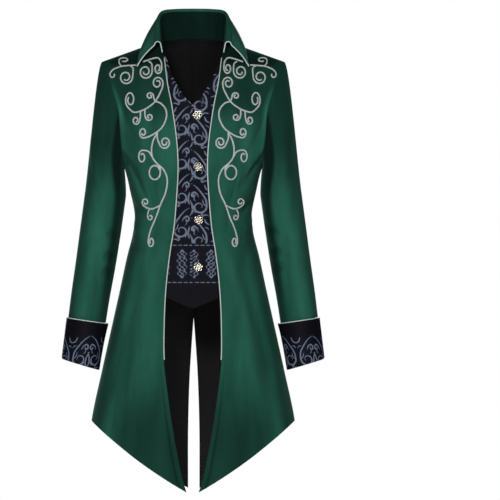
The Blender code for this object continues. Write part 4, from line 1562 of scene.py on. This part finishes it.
def make_sleeve(part, word, side):
    rails = {}
    half_gap = SEAM_GAP / 2 / part.width

    def place(share, down):
        turn = part.first + (part.last - part.first) * (half_gap + (1 - 2 * half_gap) * share)
        if down >= 0:
            point = arm_point(turn, BICEPS_Z + down * ARM_LENGTH)
        else:
            if share not in rails:
                rails[share] = head_rail(turn)
            point = along_rail(rails[share], 1 + down)
        return point, (turn, point.z)

    def amount(share, down, spot):
        from_armhole = (1 + down) * HEAD_LENGTH
        calm = calm_near(from_armhole) * calm_near(share * part.width + SLEEVE_SEAM_FREE)
        calm *= calm_near((1 - share) * part.width + SLEEVE_SEAM_FREE)
        dip = seam_dip(share, part.width) - SEAM_DIP * bump_at(from_armhole, 0.0, SEAM_REACH)
        return crease_push(SLEEVE_CREASES[word], *spot, reach=ARM_REACH) * calm + dip

    head = [share - 1 for share in spread(HEAD_ROWS, HEAD_LENGTH) if share < HEAD_ENDS]
    arm = [k / ARM_ROWS for k in range(ARM_ROWS + 1)]
    bm, spots = grid_sheet(spread(part.columns, part.width), head + arm, mirrored(place, side))
    face_outwards(bm, Vector((side * arm_x_at(BICEPS_Z), arm_y_at(BICEPS_Z), BICEPS_Z)))
    push_out(spots, amount)
    paint_light_on_vertices(bm, spots, sleeve_painted_light)
    piece = into_scene(f"sleeve_{part.name}_cloth_{word}", bm, velvet, satin)
    give_wall(piece, COAT_WALL)
    on_coat(piece, "velvet", f"sleeve_{part.name}_{word}")
    return piece


sleeves = [make_sleeve(part, word, side) for part in SLEEVE_PARTS for word, side in SIDES]
print("sleeve faces:", sum(len(piece.data.polygons) for piece in sleeves))

# %% [markdown]
# ## Turned-back cuffs
# The cuff is a band of brocade turned back over the sleeve's end, open at a slit behind the outer
# side. Its lower corners are rounded off at the slit, and its upper edge flares a little and carries
# the cord.

# %% The cuff's surface
CUFF_BOTTOM_Z = -0.714
CUFF_TOP_Z = -0.617
CUFF_WALL = 0.0020
CUFF_SLIT = math.radians(315)
CUFF_SLIT_HALF = 0.0012
CUFF_CORNER_LIFT = 0.018
CUFF_CORNER_SPREAD = math.radians(30)
CUFF_SLACK = 0.0006
CUFF_FLARE = 0.0012
CUFF_EAR = 0.0035
CUFF_EAR_SHARPNESS = 6
CUFF_INNER_LIFT = 0.006
CUFF_OUTER_LIFT = 0.005
CUFF_FOLD = 0.0026
CUFF_FACING_TOP_Z = -0.664


def cuff_point(turn, height, depth=0.0):
    """The cuff's outer surface: height is 0 at its fold and 1 at its corded top."""
    away = abs((turn - CUFF_SLIT + math.pi) % (2 * math.pi) - math.pi)
    bottom = CUFF_BOTTOM_Z + CUFF_CORNER_LIFT * bump_at(away, 0.0, CUFF_CORNER_SPREAD)
    z = bottom + (CUFF_TOP_Z - bottom) * height
    ear = CUFF_EAR * max(-math.cos(turn), 0.0) ** CUFF_EAR_SHARPNESS * height**3
    inner_lift = CUFF_INNER_LIFT * (1 - math.cos(turn)) / 2 * height
    outer_lift = CUFF_OUTER_LIFT * (1 + math.cos(turn)) / 2 * (1 - height)
    grow = CUFF_SLACK + CUFF_WALL - depth + CUFF_FLARE * height + ear
    return arm_point(turn, z, grow) + UP * (inner_lift + outer_lift)


def cuff_place(turn, height):
    """The cuff with its lower edge folded under: height goes on below 0 round the fold and up inside."""
    if height >= 0:
        return cuff_point(turn, height) + UP * CUFF_FOLD * (1 - height)
    edge = cuff_point(turn, 0.0) + UP * CUFF_FOLD
    if height >= -1:
        angle = -math.pi * height
        depth, drop = CUFF_FOLD * (1 - math.cos(angle)), CUFF_FOLD * math.sin(angle)
        return cuff_point(turn, 0.0, depth) + UP * (CUFF_FOLD - drop)
    inner = cuff_point(turn, 0.0, 2 * CUFF_FOLD) + UP * CUFF_FOLD
    rise = (CUFF_FACING_TOP_Z - edge.z) * (-1 - height)
    along = arm_point(turn, edge.z + rise) - arm_point(turn, edge.z)
    return inner + along


print("cuff's top, outer side:", [round(value, 4) for value in cuff_point(0.0, 1.0)])

# %% Make the cuffs
CUFF_ROUND = 0.30
CUFF_LENGTH = 0.097
CUFF_COLUMNS = 172
CUFF_ROWS = 54
CUFF_FOLD_ROWS = 8
CUFF_FACING_ROWS = 8


def cuff_heights():
    outside = [1 - share for share in spread(CUFF_ROWS, CUFF_LENGTH)]
    fold = [-k / CUFF_FOLD_ROWS for k in range(1, CUFF_FOLD_ROWS + 1)]
    facing = [-1 - k / CUFF_FACING_ROWS for k in range(1, CUFF_FACING_ROWS + 1)]
    return outside + fold + facing


def make_cuff(word, side):
    half = CUFF_SLIT_HALF / arm_width_at(CUFF_TOP_Z)
    first, last = CUFF_SLIT + half, CUFF_SLIT + 2 * math.pi - half

    def place(share, height):
        point = cuff_place(first + (last - first) * share, height)
        return point, (share * CUFF_ROUND, point.z)

    bm, spots = grid_sheet(spread(CUFF_COLUMNS, CUFF_ROUND), cuff_heights(), mirrored(place, side))
    weave_figure(bm, spots, CUFF_FIGURE[word])
    middle = (CUFF_TOP_Z + CUFF_BOTTOM_Z) / 2
    face_outwards(bm, Vector((side * arm_x_at(middle), arm_y_at(middle), middle)))
    piece = into_scene(f"cuff_cloth_{word}", bm, brocade, satin)
    give_wall(piece, CUFF_WALL)
    on_coat(piece, "brocade", f"cuff_{word}")
    return piece


cuffs = {word: make_cuff(word, side) for word, side in SIDES}
print("cuff faces:", len(cuffs["left"].data.polygons))

# %% [markdown]
# ## The false waistcoat
# Two brocade fronts are sewn inside the coat's fronts and button over each other at the centre. They
# follow the coat's own form, sunk under it, so they are the same surface drawn in by a few
# millimetres.

# %% The waistcoat's form
VEST_OUTER_X = 0.095
VEST_TOP_SHARE = 0.935
VEST_CENTRE_Z = -0.585
VEST_SIDE_RISE = 0.40
VEST_LAP = {"left": 0.007, "right": 0.020}
VEST_EDGE_INSET = 0.0034
VEST_MIDDLE_INSET = 0.0070
VEST_LAP_STEP = {"left": 0.0, "right": 0.0021}
VEST_WALL = 0.0015
VEST_NECK = (
    HalfOpening(-0.135, 0.0),
    HalfOpening(-0.122, 0.0150),
    HalfOpening(-0.092, 0.0350),
    HalfOpening(-0.058, 0.0510),
    HalfOpening(-0.022, 0.0605),
    HalfOpening(0.010, 0.0640),
)
vest_neck_at = smooth_curve(VEST_NECK, "x")


def vest_point(turn, drop):
    """The coat's form over the waistcoat: drop is 1 on the waistcoat's own hem."""
    if drop < 0:
        return yoke_point(turn, -drop)
    x = half_width_at(VEST_CENTRE_Z) * power(math.sin(turn))
    hem = VEST_CENTRE_Z + VEST_SIDE_RISE * abs(x)
    return ring_point(turn, ARMPIT_Z + drop * (hem - ARMPIT_Z))


def vest_turn(x, drop):
    level = ARMPIT_Z * (1 + drop) if drop < 0 else vest_point(0.0, drop).z
    return turn_at(x, half_width_at(level))


print("waistcoat's hem at the centre:", round(vest_point(0.0, 1.0).z, 4))

# %% Make the waistcoat's fronts
VEST_WIDTH = 0.10
VEST_COLUMNS = 58
VEST_YOKE_ROWS = 150
VEST_BODY_ROWS = 175


def make_vest(word, side):
    lap, middle = VEST_LAP[word], VEST_MIDDLE_INSET + VEST_LAP_STEP[word]

    def place(share, drop):
        z = vest_point(NEAR_FRONT, drop).z
        inner = max(vest_neck_at(z), -lap) if z > VEST_NECK[0].z else -lap
        first, last = vest_turn(inner, drop), vest_turn(VEST_OUTER_X, drop)
        turn = first + (last - first) * share
        point, normal = vest_point(turn, drop), normal_of(vest_point, turn, drop)
        covered = min(max(point.x / VEST_OUTER_X, 0.0), 1.0)
        point -= normal * (middle + (VEST_EDGE_INSET - middle) * covered**2)
        return on_side(point, side), (side * point.x, point.z)

    top = math.acos(VEST_TOP_SHARE)
    yoke = [-math.cos(top + (math.pi / 2 - top) * k / VEST_YOKE_ROWS) for k in range(VEST_YOKE_ROWS)]
    body = [k / VEST_BODY_ROWS for k in range(VEST_BODY_ROWS + 1)]
    bm, spots = grid_sheet(spread(VEST_COLUMNS, VEST_WIDTH), yoke + body, place)
    face_outwards(bm)
    weave_figure(bm, spots, VEST_FIGURE[word])
    piece = into_scene(f"vest_cloth_{word}", bm, brocade, satin)
    give_wall(piece, VEST_WALL)
    on_coat(piece, "brocade", f"vest_{word}")
    return piece


vests = {word: make_vest(word, side) for word, side in SIDES}
print("waistcoat faces:", len(vests["left"].data.polygons))

# %% [markdown]
# ## The turned collar
# The collar stands up from the neckline, rolls over and falls to long points. It is one sheet whose
# rows run from the neckline up the stand, over the roll and down the fall, and its columns run round
# the neck, so the roll widens towards the front just as the cloth there lies open.

# %% The neckline that the collar is sewn to
NECK_POINTS = 28
EDGE_POINTS = 14


def neck_line():
    """From centre back to the front edge, along the panels' own top edges."""
    line = []
    for k in range(NECK_POINTS):
        turn = CENTRE_BACK + (NECK_TURN - CENTRE_BACK) * k / NECK_POINTS
        line.append(coat_point(turn, -neck_back_share(turn)))
    last = math.acos(NECK_FRONT_SHARE)
    for k in range(EDGE_POINTS + 1):
        share = math.cos(last * k / EDGE_POINTS)
        line.append(coat_point(edge_turn(front_edge_at, -share, NEAR_FRONT), -share))
    return line


def reaches(points):
    """How far along the line through them all each point is."""
    lengths = [0.0]
    for before, after in zip(points, points[1:]):
        lengths.append(lengths[-1] + (after - before).length)
    return lengths


COLLAR_SEAM_LIFT = -0.0008
neck_seam = [point + UP * COLLAR_SEAM_LIFT for point in neck_line()]
neck_reach = reaches(neck_seam)
print("half neckline:", round(neck_reach[-1], 4))


def on_neck_seam(along):
    reach = along * neck_reach[-1]
    k = min(bisect.bisect_right(neck_reach, reach) - 1, len(neck_seam) - 2)
    share = (reach - neck_reach[k]) / (neck_reach[k + 1] - neck_reach[k])
    return neck_seam[k].lerp(neck_seam[k + 1], share)


# %% The collar's fold and free edge
CollarFold = namedtuple("CollarFold", "along x y z roll")
COLLAR_FOLD = (
    CollarFold(0.00, 0.0000, 0.0500, 0.0905, 0.0035),
    CollarFold(0.22, 0.0400, 0.0450, 0.0895, 0.0035),
    CollarFold(0.42, 0.0690, 0.0265, 0.0850, 0.0035),
    CollarFold(0.55, 0.0775, 0.0080, 0.0740, 0.0040),
    CollarFold(0.70, 0.0795, -0.0160, 0.0560, 0.0050),
    CollarFold(0.85, 0.0795, -0.0410, 0.0340, 0.0065),
    CollarFold(1.00, 0.0790, -0.0630, 0.0140, 0.0080),
)
CollarEdge = namedtuple("CollarEdge", "along x y z")
COLLAR_EDGE = (
    CollarEdge(0.00, 0.0000, 0.0750, 0.0430),
    CollarEdge(0.22, 0.0480, 0.0675, 0.0370),
    CollarEdge(0.42, 0.0870, 0.0400, 0.0210),
    CollarEdge(0.60, 0.1090, 0.0040, 0.0140),
    CollarEdge(0.80, 0.1210, -0.0450, -0.0110),
    CollarEdge(1.00, 0.1255, -0.0680, -0.0410),
)
COLLAR_BELLY = 0.004
COLLAR_WALL = 0.0020
fold_axes = [smooth_curve(COLLAR_FOLD, axis) for axis in "xyz"]
edge_axes = [smooth_curve(COLLAR_EDGE, axis) for axis in "xyz"]
roll_at = smooth_curve(COLLAR_FOLD, "roll")


def collar_point(along, across):
    """across is 0 on the neckline, 1 at the stand's top, 2 past the roll and 3 on the free edge."""
    seam = on_neck_seam(along)
    roll = roll_at(along)
    fold = Vector([axis(along) for axis in fold_axes])
    edge = Vector([axis(along) for axis in edge_axes])
    outward = Vector((edge.x - seam.x, edge.y - seam.y, 0)).normalized()
    middle = fold - UP * roll
    if across <= 1:
        return seam.lerp(middle - outward * roll, across)
    if across <= 2:
        angle = math.pi * (across - 1)
        return middle + (UP * math.sin(angle) - outward * math.cos(angle)) * roll
    share = across - 2
    belly = outward * COLLAR_BELLY * math.sin(math.pi * share)
    return (middle + outward * roll).lerp(edge, share) + belly


print("collar's point:", [round(value, 4) for value in collar_point(1.0, 3.0)])

# %% Make the collar
STAND_ROWS = 22
ROLL_ROWS = 12
FALL_ROWS = 26
COLLAR_COLUMNS = 120
STAND_SHADED_TO = 0.97
FALL_SHINE = 0.8


def collar_rows():
    stand = [k / STAND_ROWS for k in range(STAND_ROWS)]
    roll = [1 + k / ROLL_ROWS for k in range(ROLL_ROWS)]
    fall = [2 + k / FALL_ROWS for k in range(FALL_ROWS + 1)]
    return stand + roll + fall


def collar_place(across, down):
    along = 2 * across - 1
    return on_side(collar_point(abs(along), down), math.copysign(1, along)), (across, down)


def collar_painted_light(across, down, spot):
    """A painted highlight on the fall, past the roll and towards its points."""
    return FALL_SHINE * ramp(down, 1.5, 2.3) * ramp(abs(2 * across - 1), 0.5, 0.8)


columns = [k / COLLAR_COLUMNS for k in range(COLLAR_COLUMNS + 1)]
bm, spots = grid_sheet(columns, collar_rows(), collar_place)
# Faces low on the stand, and the collar's inner side, get the velvet copy that is painted in shade.
for face in bm.faces:
    across = sum(spots[vertex][1] for vertex in face.verts) / len(face.verts)
    face.material_index = 1 if across < STAND_SHADED_TO else 0
paint_light_on_vertices(bm, spots, collar_painted_light)
bm.normal_update()
top_vertex = max(bm.verts, key=lambda vertex: vertex.co.z)
if top_vertex.normal.z < 0:
    bmesh.ops.reverse_faces(bm, faces=bm.faces)
collar = into_scene("collar_cloth", bm, velvet, shaded_velvet, shaded_velvet)
give_wall(collar, COLLAR_WALL)
on_coat(collar, "velvet", "collar")
print("collar faces:", len(collar.data.polygons))


# %% [markdown]
# ## Corded piping
# The edges are finished with a satin-covered cord sewn into the seam, which lies beside the cloth's
# edge and a little into it. A curve object with a round bevel would do, but the cord's fine twist
# needs to know how far along and around each place is, so the tube is a bent grid that keeps both as
# its pattern coordinates.

# %% A tube along a path
CORD_RADIUS = 0.0013
CORD_SIDES = 10
CORD_BURY = 0.0003
CORD_UP = Vector((0, -1, 0.3)).normalized()
MERGE = 1e-6


def add_tube(bm, path, radius, ups, sides):
    """A capped tube through the path's points, each with its own way up."""
    uv = bm.loops.layers.uv.verify()
    rows = len(path) - 1
    made = bmesh.ops.create_grid(bm, x_segments=sides, y_segments=rows, size=0.5)["verts"]
    lengths = reaches(path)
    frames = []
    for k, point in enumerate(path):
        way = (path[min(k + 1, rows)] - path[max(k - 1, 0)]).normalized()
        across = way.cross(ups[k]).normalized()
        frames.append((point, across, across.cross(way)))
    spots = {}
    for vertex in made:
        i = round((vertex.co.x + 0.5) * sides)
        j = round((0.5 - vertex.co.y) * rows)
        point, across, upward = frames[j]
        angle = 2 * math.pi * i / sides
        vertex.co = point + (across * math.cos(angle) + upward * math.sin(angle)) * radius
        spots[vertex] = (i / sides, lengths[j])
    for face in {face for vertex in made for face in vertex.link_faces}:
        for loop in face.loops:
            loop[uv].uv = spots[loop.vert]
    bmesh.ops.remove_doubles(bm, verts=made, dist=MERGE)


def new_thread_mesh():
    bm = bmesh.new()
    bm.loops.layers.uv.new(PATTERN)
    return bm


def finish_thread(name, bm, material, slot, *nodes):
    bmesh.ops.holes_fill(bm, edges=[edge for edge in bm.edges if edge.is_boundary], sides=0)
    bmesh.ops.recalc_face_normals(bm, faces=bm.faces)
    piece = into_scene(name, bm, material)
    on_coat(piece, slot, *nodes)
    return piece


print("cord radius, in millimetres:", 1000 * CORD_RADIUS)

# %% A cord laid beside an edge
def beside(edge, inward, normals, wall):
    """A cord's path along an edge: just outside it and in the middle of the wall."""
    path = []
    for k, point in enumerate(edge):
        along = (edge[min(k + 1, len(edge) - 1)] - edge[max(k - 1, 0)]).normalized()
        out = point - inward[k]
        out = (out - along * out.dot(along)).normalized()
        path.append(point + out * (CORD_RADIUS - CORD_BURY) - normals[k] * wall / 2)
    return path


def lay_cord(name, path, side, *nodes, ups=None):
    """A cord on the left side's path, or on its mirror image for side -1."""
    ups = [on_side(up, side) for up in ups or [CORD_UP] * len(path)]
    bm = new_thread_mesh()
    add_tube(bm, [on_side(point, side) for point in path], CORD_RADIUS, ups, CORD_SIDES)
    return finish_thread(name, bm, cord_finish, "braid", *nodes)


print("a cord stands out of its seam by:", round(2 * CORD_RADIUS - CORD_BURY, 4))

# %% Cord on the front edges
def is_piped(drop):
    return drop > -NECK_FRONT_SHARE and front_place(0, drop)[0].z > PIPED_TO_Z


shown = [drop for drop in DROPS if is_piped(drop)]
edge = [front_place(0.0, drop)[0] for drop in shown]
inward = [front_place(0.02, drop)[0] for drop in shown]
normals = [normal_of(coat_point, front_starts[drop], drop) for drop in shown]
front_cord = beside(edge, inward, normals, COAT_WALL)
for word, side in SIDES:
    lay_cord(f"front_cord_{word}", front_cord, side, f"piping_front_{word}")
print("front cord points:", len(front_cord))

# %% Cord on the collar's two front ends
COLLAR_CORD_START = 0.35
END_STEPS = 70
LOOK = 0.01


def collar_normal(along, across):
    across = min(max(across, LOOK), 3 - LOOK)
    along = min(along, 1 - LOOK)
    by = collar_point(along + LOOK, across) - collar_point(max(along - LOOK, 0), across)
    over = collar_point(along, across + LOOK) - collar_point(along, across - LOOK)
    return by.cross(over).normalized()


ends = [COLLAR_CORD_START + (3 - COLLAR_CORD_START) * k / END_STEPS for k in range(END_STEPS + 1)]
edge = [collar_point(1.0, across) for across in ends]
inward = [collar_point(1.0 - LOOK, across) for across in ends]
from_neck = collar_point(1.0, 2.9)
from_neck.z = 0.0
facing = 1 if collar_normal(1.0, 3.0).dot(from_neck) >= 0 else -1
normals = [collar_normal(1.0, across) * facing for across in ends]
end_cord = beside(edge, inward, normals, COLLAR_WALL)
print("end cord:", round(reaches(end_cord)[-1], 4))

# %% Cord along the fall's edge, tucked under it round the back
FALL_STEPS = 110
TIP_STEPS = 5
CORD_TUCK = 0.0022
TUCK_STARTS = 0.42
TUCK_GROWS = 0.18
TUCK_ENDS = 0.05
TUCK_INWARD = 1.6
rounds = [1 - k / FALL_STEPS for k in range(FALL_STEPS + 1)]
edge = [collar_point(along, 3.0) for along in rounds]
inward = [collar_point(along, 3.0 - LOOK) for along in rounds]
normals = [collar_normal(along, 3.0) * facing for along in rounds]
fall_cord = beside(edge, inward, normals, COLLAR_WALL)
for k, (along, normal) in enumerate(zip(rounds, normals)):
    tuck = min(max((along - TUCK_STARTS) / TUCK_GROWS, 0.0), 1.0)
    tuck *= min(max((1 - along) / TUCK_ENDS, 0.0), 1.0)
    out = fall_cord[k] - edge[k]
    fall_cord[k] = edge[k] + out * (1 - TUCK_INWARD * tuck) - normal * CORD_TUCK * tuck
tip = edge[0] - normals[0] * COLLAR_WALL / 2
turns = [(end_cord[-1] - tip).lerp(fall_cord[0] - tip, k / TIP_STEPS) for k in range(1, TIP_STEPS)]
tip_cord = [tip + turn.normalized() * (CORD_RADIUS - CORD_BURY) for turn in turns]
half_cord = end_cord + tip_cord + fall_cord
other_half = [on_side(point, -1) for point in half_cord[::-1][1:]]
lay_cord("collar_cord", half_cord + other_half, 1, "piping_collar")
print("collar cord points:", len(half_cord) + len(other_half))

# %% Cord up each cuff's slit and round its top
CUFF_CORD_STEPS = 170
SLIT_CORD_STEPS = 40
SLIT_CORD_FROM = 0.04
SLIT_CORD_LONG = 0.94
half = CUFF_SLIT_HALF / arm_width_at(CUFF_TOP_Z)
lift = UP * (CORD_RADIUS - CORD_BURY)
cuff_path = []
for k in range(SLIT_CORD_STEPS + 1):
    height = SLIT_CORD_FROM + SLIT_CORD_LONG * k / SLIT_CORD_STEPS
    cuff_path.append(cuff_point(CUFF_SLIT, height, CUFF_WALL / 3) + UP * CUFF_FOLD * (1 - height))
for k in range(CUFF_CORD_STEPS + 1):
    turn = CUFF_SLIT + 2 * half + (2 * math.pi - 3 * half) * k / CUFF_CORD_STEPS
    cuff_path.append(cuff_point(turn, 1.0, CUFF_WALL / 2) + lift)
cuff_axis = Vector((arm_x_at(CUFF_TOP_Z), arm_y_at(CUFF_TOP_Z), 0))
ups = [Vector((point.x - cuff_axis.x, point.y - cuff_axis.y, 0)).normalized() for point in cuff_path]
for word, side in SIDES:
    lay_cord(f"cuff_cord_{word}", cuff_path, side, f"piping_cuff_{word}", ups=ups)
print("cuff cord:", round(reaches(cuff_path)[-1], 4))

# %% [markdown]
# ## Braided scroll embroidery
# A couched braid is laid over the velvet along the drawn scrolls and stitched down. It is a real two-
# strand twist, about 4 mm wide, so each strand is its own tube winding round the drawn line. The line
# is found on the cloth by casting rays from in front or behind, which keeps the braid on the panel's
# own curve.

# %% The fronts' scrolls, measured out and down from the base of the neck in millimetres
FRONT_SCROLLS = (
    Stroke(((128, -40), (147, -41), (163, -43), (178, -49)), Curl(180, -61, 6.5, 8, 0.7, -1, 0.6)),
    Stroke(((160, -42), (165, -36)), Curl(155, -28, 11, 5.5, 0.85, 1, 0.6)),
    Stroke(((141, -41), (134, -48)), Curl(150, -67, 15, 16, 1.35, 1, 0.40)),
    Stroke(((112, -33), (95, -27), (79, -24), (71, -33)), Curl(78, -48, 8.5, 13, 1.3, 1, 0.35)),
    Stroke(((99, -32), (92, -38)), Curl(106, -55, 15, 16.5, 1.5, 1, 0.30)),
    Stroke(((70, -97), (83, -121), (99, -135), (115, -143), (132, -146)),
           Curl(140, -118, 11, 19, 1.3, 1, 0.42), Curl(79, -81, 12.5, 14.5, 1.4, -1, 0.30)),
    Stroke(((84, -122), (87, -115)), Curl(96, -110, 8, 8, 1.2, -1, 0.30)),
    Stroke(((84, -122), (71, -127), (60, -141), (59, -159), (67, -178), (79, -190), (96, -200)),
           Curl(111, -192, 8.5, 12, 1.25, 1, 0.35)),
    Stroke(((117, -143), (117, -155)), Curl(127, -164, 8, 10, 1.2, 1, 0.35)),
    Stroke(((107, -139), (107, -151)), Curl(97, -157, 8.5, 8.5, 1.2, -1, 0.30)),
    Stroke(((79, -192), (79, -205)), Curl(62, -214, 12.5, 14, 1.5, -1, 0.28)),
    Stroke(((79, -193), (88, -209), (92, -228), (90, -247), (80, -261), (65, -275), (57, -297),
            (61, -326), (72, -352), (83, -383), (94, -409)), Curl(93, -436, 6.8, 12.5, 1.25, -1, 0.35)),
    Stroke(((90, -247), (99, -234)), Curl(113, -246, 9, 15, 1.15, -1, 0.40)),
    Stroke(((80, -261), (73, -270)), Curl(85, -281, 12.5, 16, 0.95, 1, 0.95)),
    Stroke(((72, -354), (90, -362), (102, -360)), Curl(106, -347, 8, 9, 1.15, 1, 0.35)),
    Stroke(((98, -364), (101, -374)), Curl(95, -381, 5.5, 6.5, 0.9, -1, 0.5)),
)
print("front scrolls:", len(FRONT_SCROLLS))

# %% The back's scrolls, on both sides of the centre seam
BACK_SCROLLS = (
    Stroke(((2.5, -372), (2.5, -342), (14, -319), (31, -309)), Curl(53, -321, 12, 12, 1.35, -1, 0.30)),
    Stroke(((43, -309), (47, -299)), Curl(32, -286, 15, 14, 1.2, 1, 0.34)),
    Stroke(((2.5, -360), (5, -378), (15, -391), (33, -397), (49, -390), (61, -377)),
           Curl(89, -384, 14, 16, 1.35, -1, 0.30)),
    Stroke(((60, -378), (52, -358)), Curl(28, -361, 17.5, 18.5, 1.7, 1, 0.25)),
    Stroke(((62, -377), (71, -352)), Curl(91, -338, 10, 10, 1.3, -1, 0.32)),
)
print("back scrolls:", len(BACK_SCROLLS))

# %% Lay the braid on the cloth
BRAID_STEP = 1.25
BRAID_TWIST = 0.0082
STRAND_WIDE = 0.00125
STRAND_HIGH = 0.0007
STRAND_RADIUS = 0.00102
STRAND_SIDES = 6
BRAID_LIFT = 0.0007


def cloth_tree(piece):
    bm = bmesh.new()
    bm.from_mesh(piece.data)
    tree = BVHTree.FromBMesh(bm)
    bm.free()
    return tree


def on_cloth(tree, x, z, way):
    """The cloth's place and normal at x and z, seen from in front for way 1 or behind for way -1."""
    point, normal, _, _ = tree.ray_cast(Vector((x, -way, z)), Vector((0, way, 0)))
    return point, normal


def add_braid(bm, line, tree, side, way):
    """Two strands that wind round one line on the cloth."""
    places = [on_cloth(tree, side * x / 1000, z / 1000, way) for x, z in line]
    places = [place for place in places if place[0]]
    points = [point for point, _ in places]
    ways = [(b - a).normalized() for a, b in zip(points, points[1:])]
    ways.append(ways[-1])
    for strand in (0, 1):
        path = []
        for (point, normal), way_on, reach in zip(places, ways, reaches(points)):
            turn = 2 * math.pi * reach / BRAID_TWIST + strand * math.pi
            across = way_on.cross(normal).normalized()
            lift = BRAID_LIFT + STRAND_HIGH * math.cos(turn)
            path.append(point + across * STRAND_WIDE * math.sin(turn) + normal * lift)
        add_tube(bm, path, STRAND_RADIUS, [normal for _, normal in places], STRAND_SIDES)


def embroider(name, panel, scrolls, side, way):
    tree = cloth_tree(panel)
    bm = new_thread_mesh()
    for scroll in scrolls:
        add_braid(bm, stroke_line(scroll, BRAID_STEP), tree, side, way)
    return finish_thread(name, bm, braid_finish, "braid")


braids = []
for word, side in SIDES:
    braids.append(embroider(f"front_braid_{word}", fronts[word], FRONT_SCROLLS, side, 1))
for word, side in SIDES:
    braids.append(embroider(f"back_braid_{word}", backs[word], BACK_SCROLLS, side, -1))
print("braid faces:", [len(piece.data.polygons) for piece in braids])

# %% [markdown]
# ## Openwork buttons
# The buttons are small cast filigree: a ring of loops round a raised boss, with holes that show the
# dark cloth. A flat disc with a bump would close those holes, so each loop is a real ring, spun from
# a small circle.

# %% Where the buttons sit
ButtonPlace = namedtuple("ButtonPlace", "x z turn")
BUTTONS = (
    ButtonPlace(0.0105, -0.153, 0),
    ButtonPlace(0.0120, -0.268, 9),
    ButtonPlace(0.0130, -0.387, 24),
    ButtonPlace(0.0120, -0.493, 14),
)
print("buttons:", len(BUTTONS))

# %% The parts of a button, in its own level plane
LOOPS = 6
LOOP_OUT = 0.0068
LOOP_UP = 0.0024
LOOP_RADIUS = 0.0028
WIRE_RADIUS = 0.00072
WIRE_SIDES = 8
RING_STEPS = 16
BARS = 3
BAR_UP = 0.0026
BAR_RADIUS = 0.00055
BAR_LENGTH = 0.0090
BOSS_UP = 0.0030
BOSS_RADIUS = 0.0018
BOSS_FLATNESS = 0.75
SHANK_FOOT = 0.0016
SHANK_TOP = 0.0012
SHANK_LENGTH = 0.0024


def add_loop(bm, angle):
    """A ring spun from a circle of wire."""
    centre = Vector((LOOP_OUT * math.cos(angle), LOOP_OUT * math.sin(angle), LOOP_UP))
    upright = Matrix.Rotation(math.pi / 2, 4, "X")
    start = Matrix.Translation(centre + Vector((LOOP_RADIUS, 0, 0))) @ upright
    made = bmesh.ops.create_circle(bm, segments=WIRE_SIDES, radius=WIRE_RADIUS, matrix=start)["verts"]
    geom = [*made, *{edge for vertex in made for edge in vertex.link_edges}]
    full = 2 * math.pi
    bmesh.ops.spin(bm, geom=geom, cent=centre, axis=UP, angle=full, steps=RING_STEPS, use_merge=True)


def add_bar(bm, angle):
    flat = Matrix.Rotation(angle, 4, "Z") @ Matrix.Rotation(math.pi / 2, 4, "Y")
    place = Matrix.Translation((0, 0, BAR_UP)) @ flat
    bmesh.ops.create_cone(
        bm, segments=8, radius1=BAR_RADIUS, radius2=BAR_RADIUS, depth=BAR_LENGTH, matrix=place
    )


def add_boss_and_shank(bm):
    boss = Matrix.Translation((0, 0, BOSS_UP)) @ Matrix.Diagonal((1, 1, BOSS_FLATNESS, 1))
    bmesh.ops.create_uvsphere(bm, u_segments=16, v_segments=10, radius=BOSS_RADIUS, matrix=boss)
    shank = Matrix.Translation((0, 0, SHANK_LENGTH / 2))
    bmesh.ops.create_cone(
        bm, cap_ends=True, segments=12,
        radius1=SHANK_FOOT, radius2=SHANK_TOP, depth=SHANK_LENGTH, matrix=shank,
    )


print("button width:", round(2 * (LOOP_OUT + LOOP_RADIUS + WIRE_RADIUS), 4))

# %% Make the buttons and set them on the waistcoat
def make_button(number, place, tree):
    bm = bmesh.new()
    for k in range(LOOPS):
        add_loop(bm, 2 * math.pi * k / LOOPS)
    for k in range(BARS):
        add_bar(bm, math.pi * (k + 0.5) / BARS)
    add_boss_and_shank(bm)
    point, normal = on_cloth(tree, place.x, place.z, 1)
    turned = Matrix.Rotation(math.radians(place.turn), 4, "Z")
    settle = Matrix.Translation(point) @ normal.to_track_quat("Z", "Y").to_matrix().to_4x4() @ turned
    bmesh.ops.transform(bm, matrix=settle, verts=bm.verts)
    piece = into_scene(f"filigree_button_{number}", bm, metal)
    on_coat(piece, "button_metal", f"button_{number}")
    return piece


vest_tree = cloth_tree(vests["left"])
buttons = [make_button(number, place, vest_tree) for number, place in enumerate(BUTTONS, 1)]
print("button faces:", len(buttons[0].data.polygons))
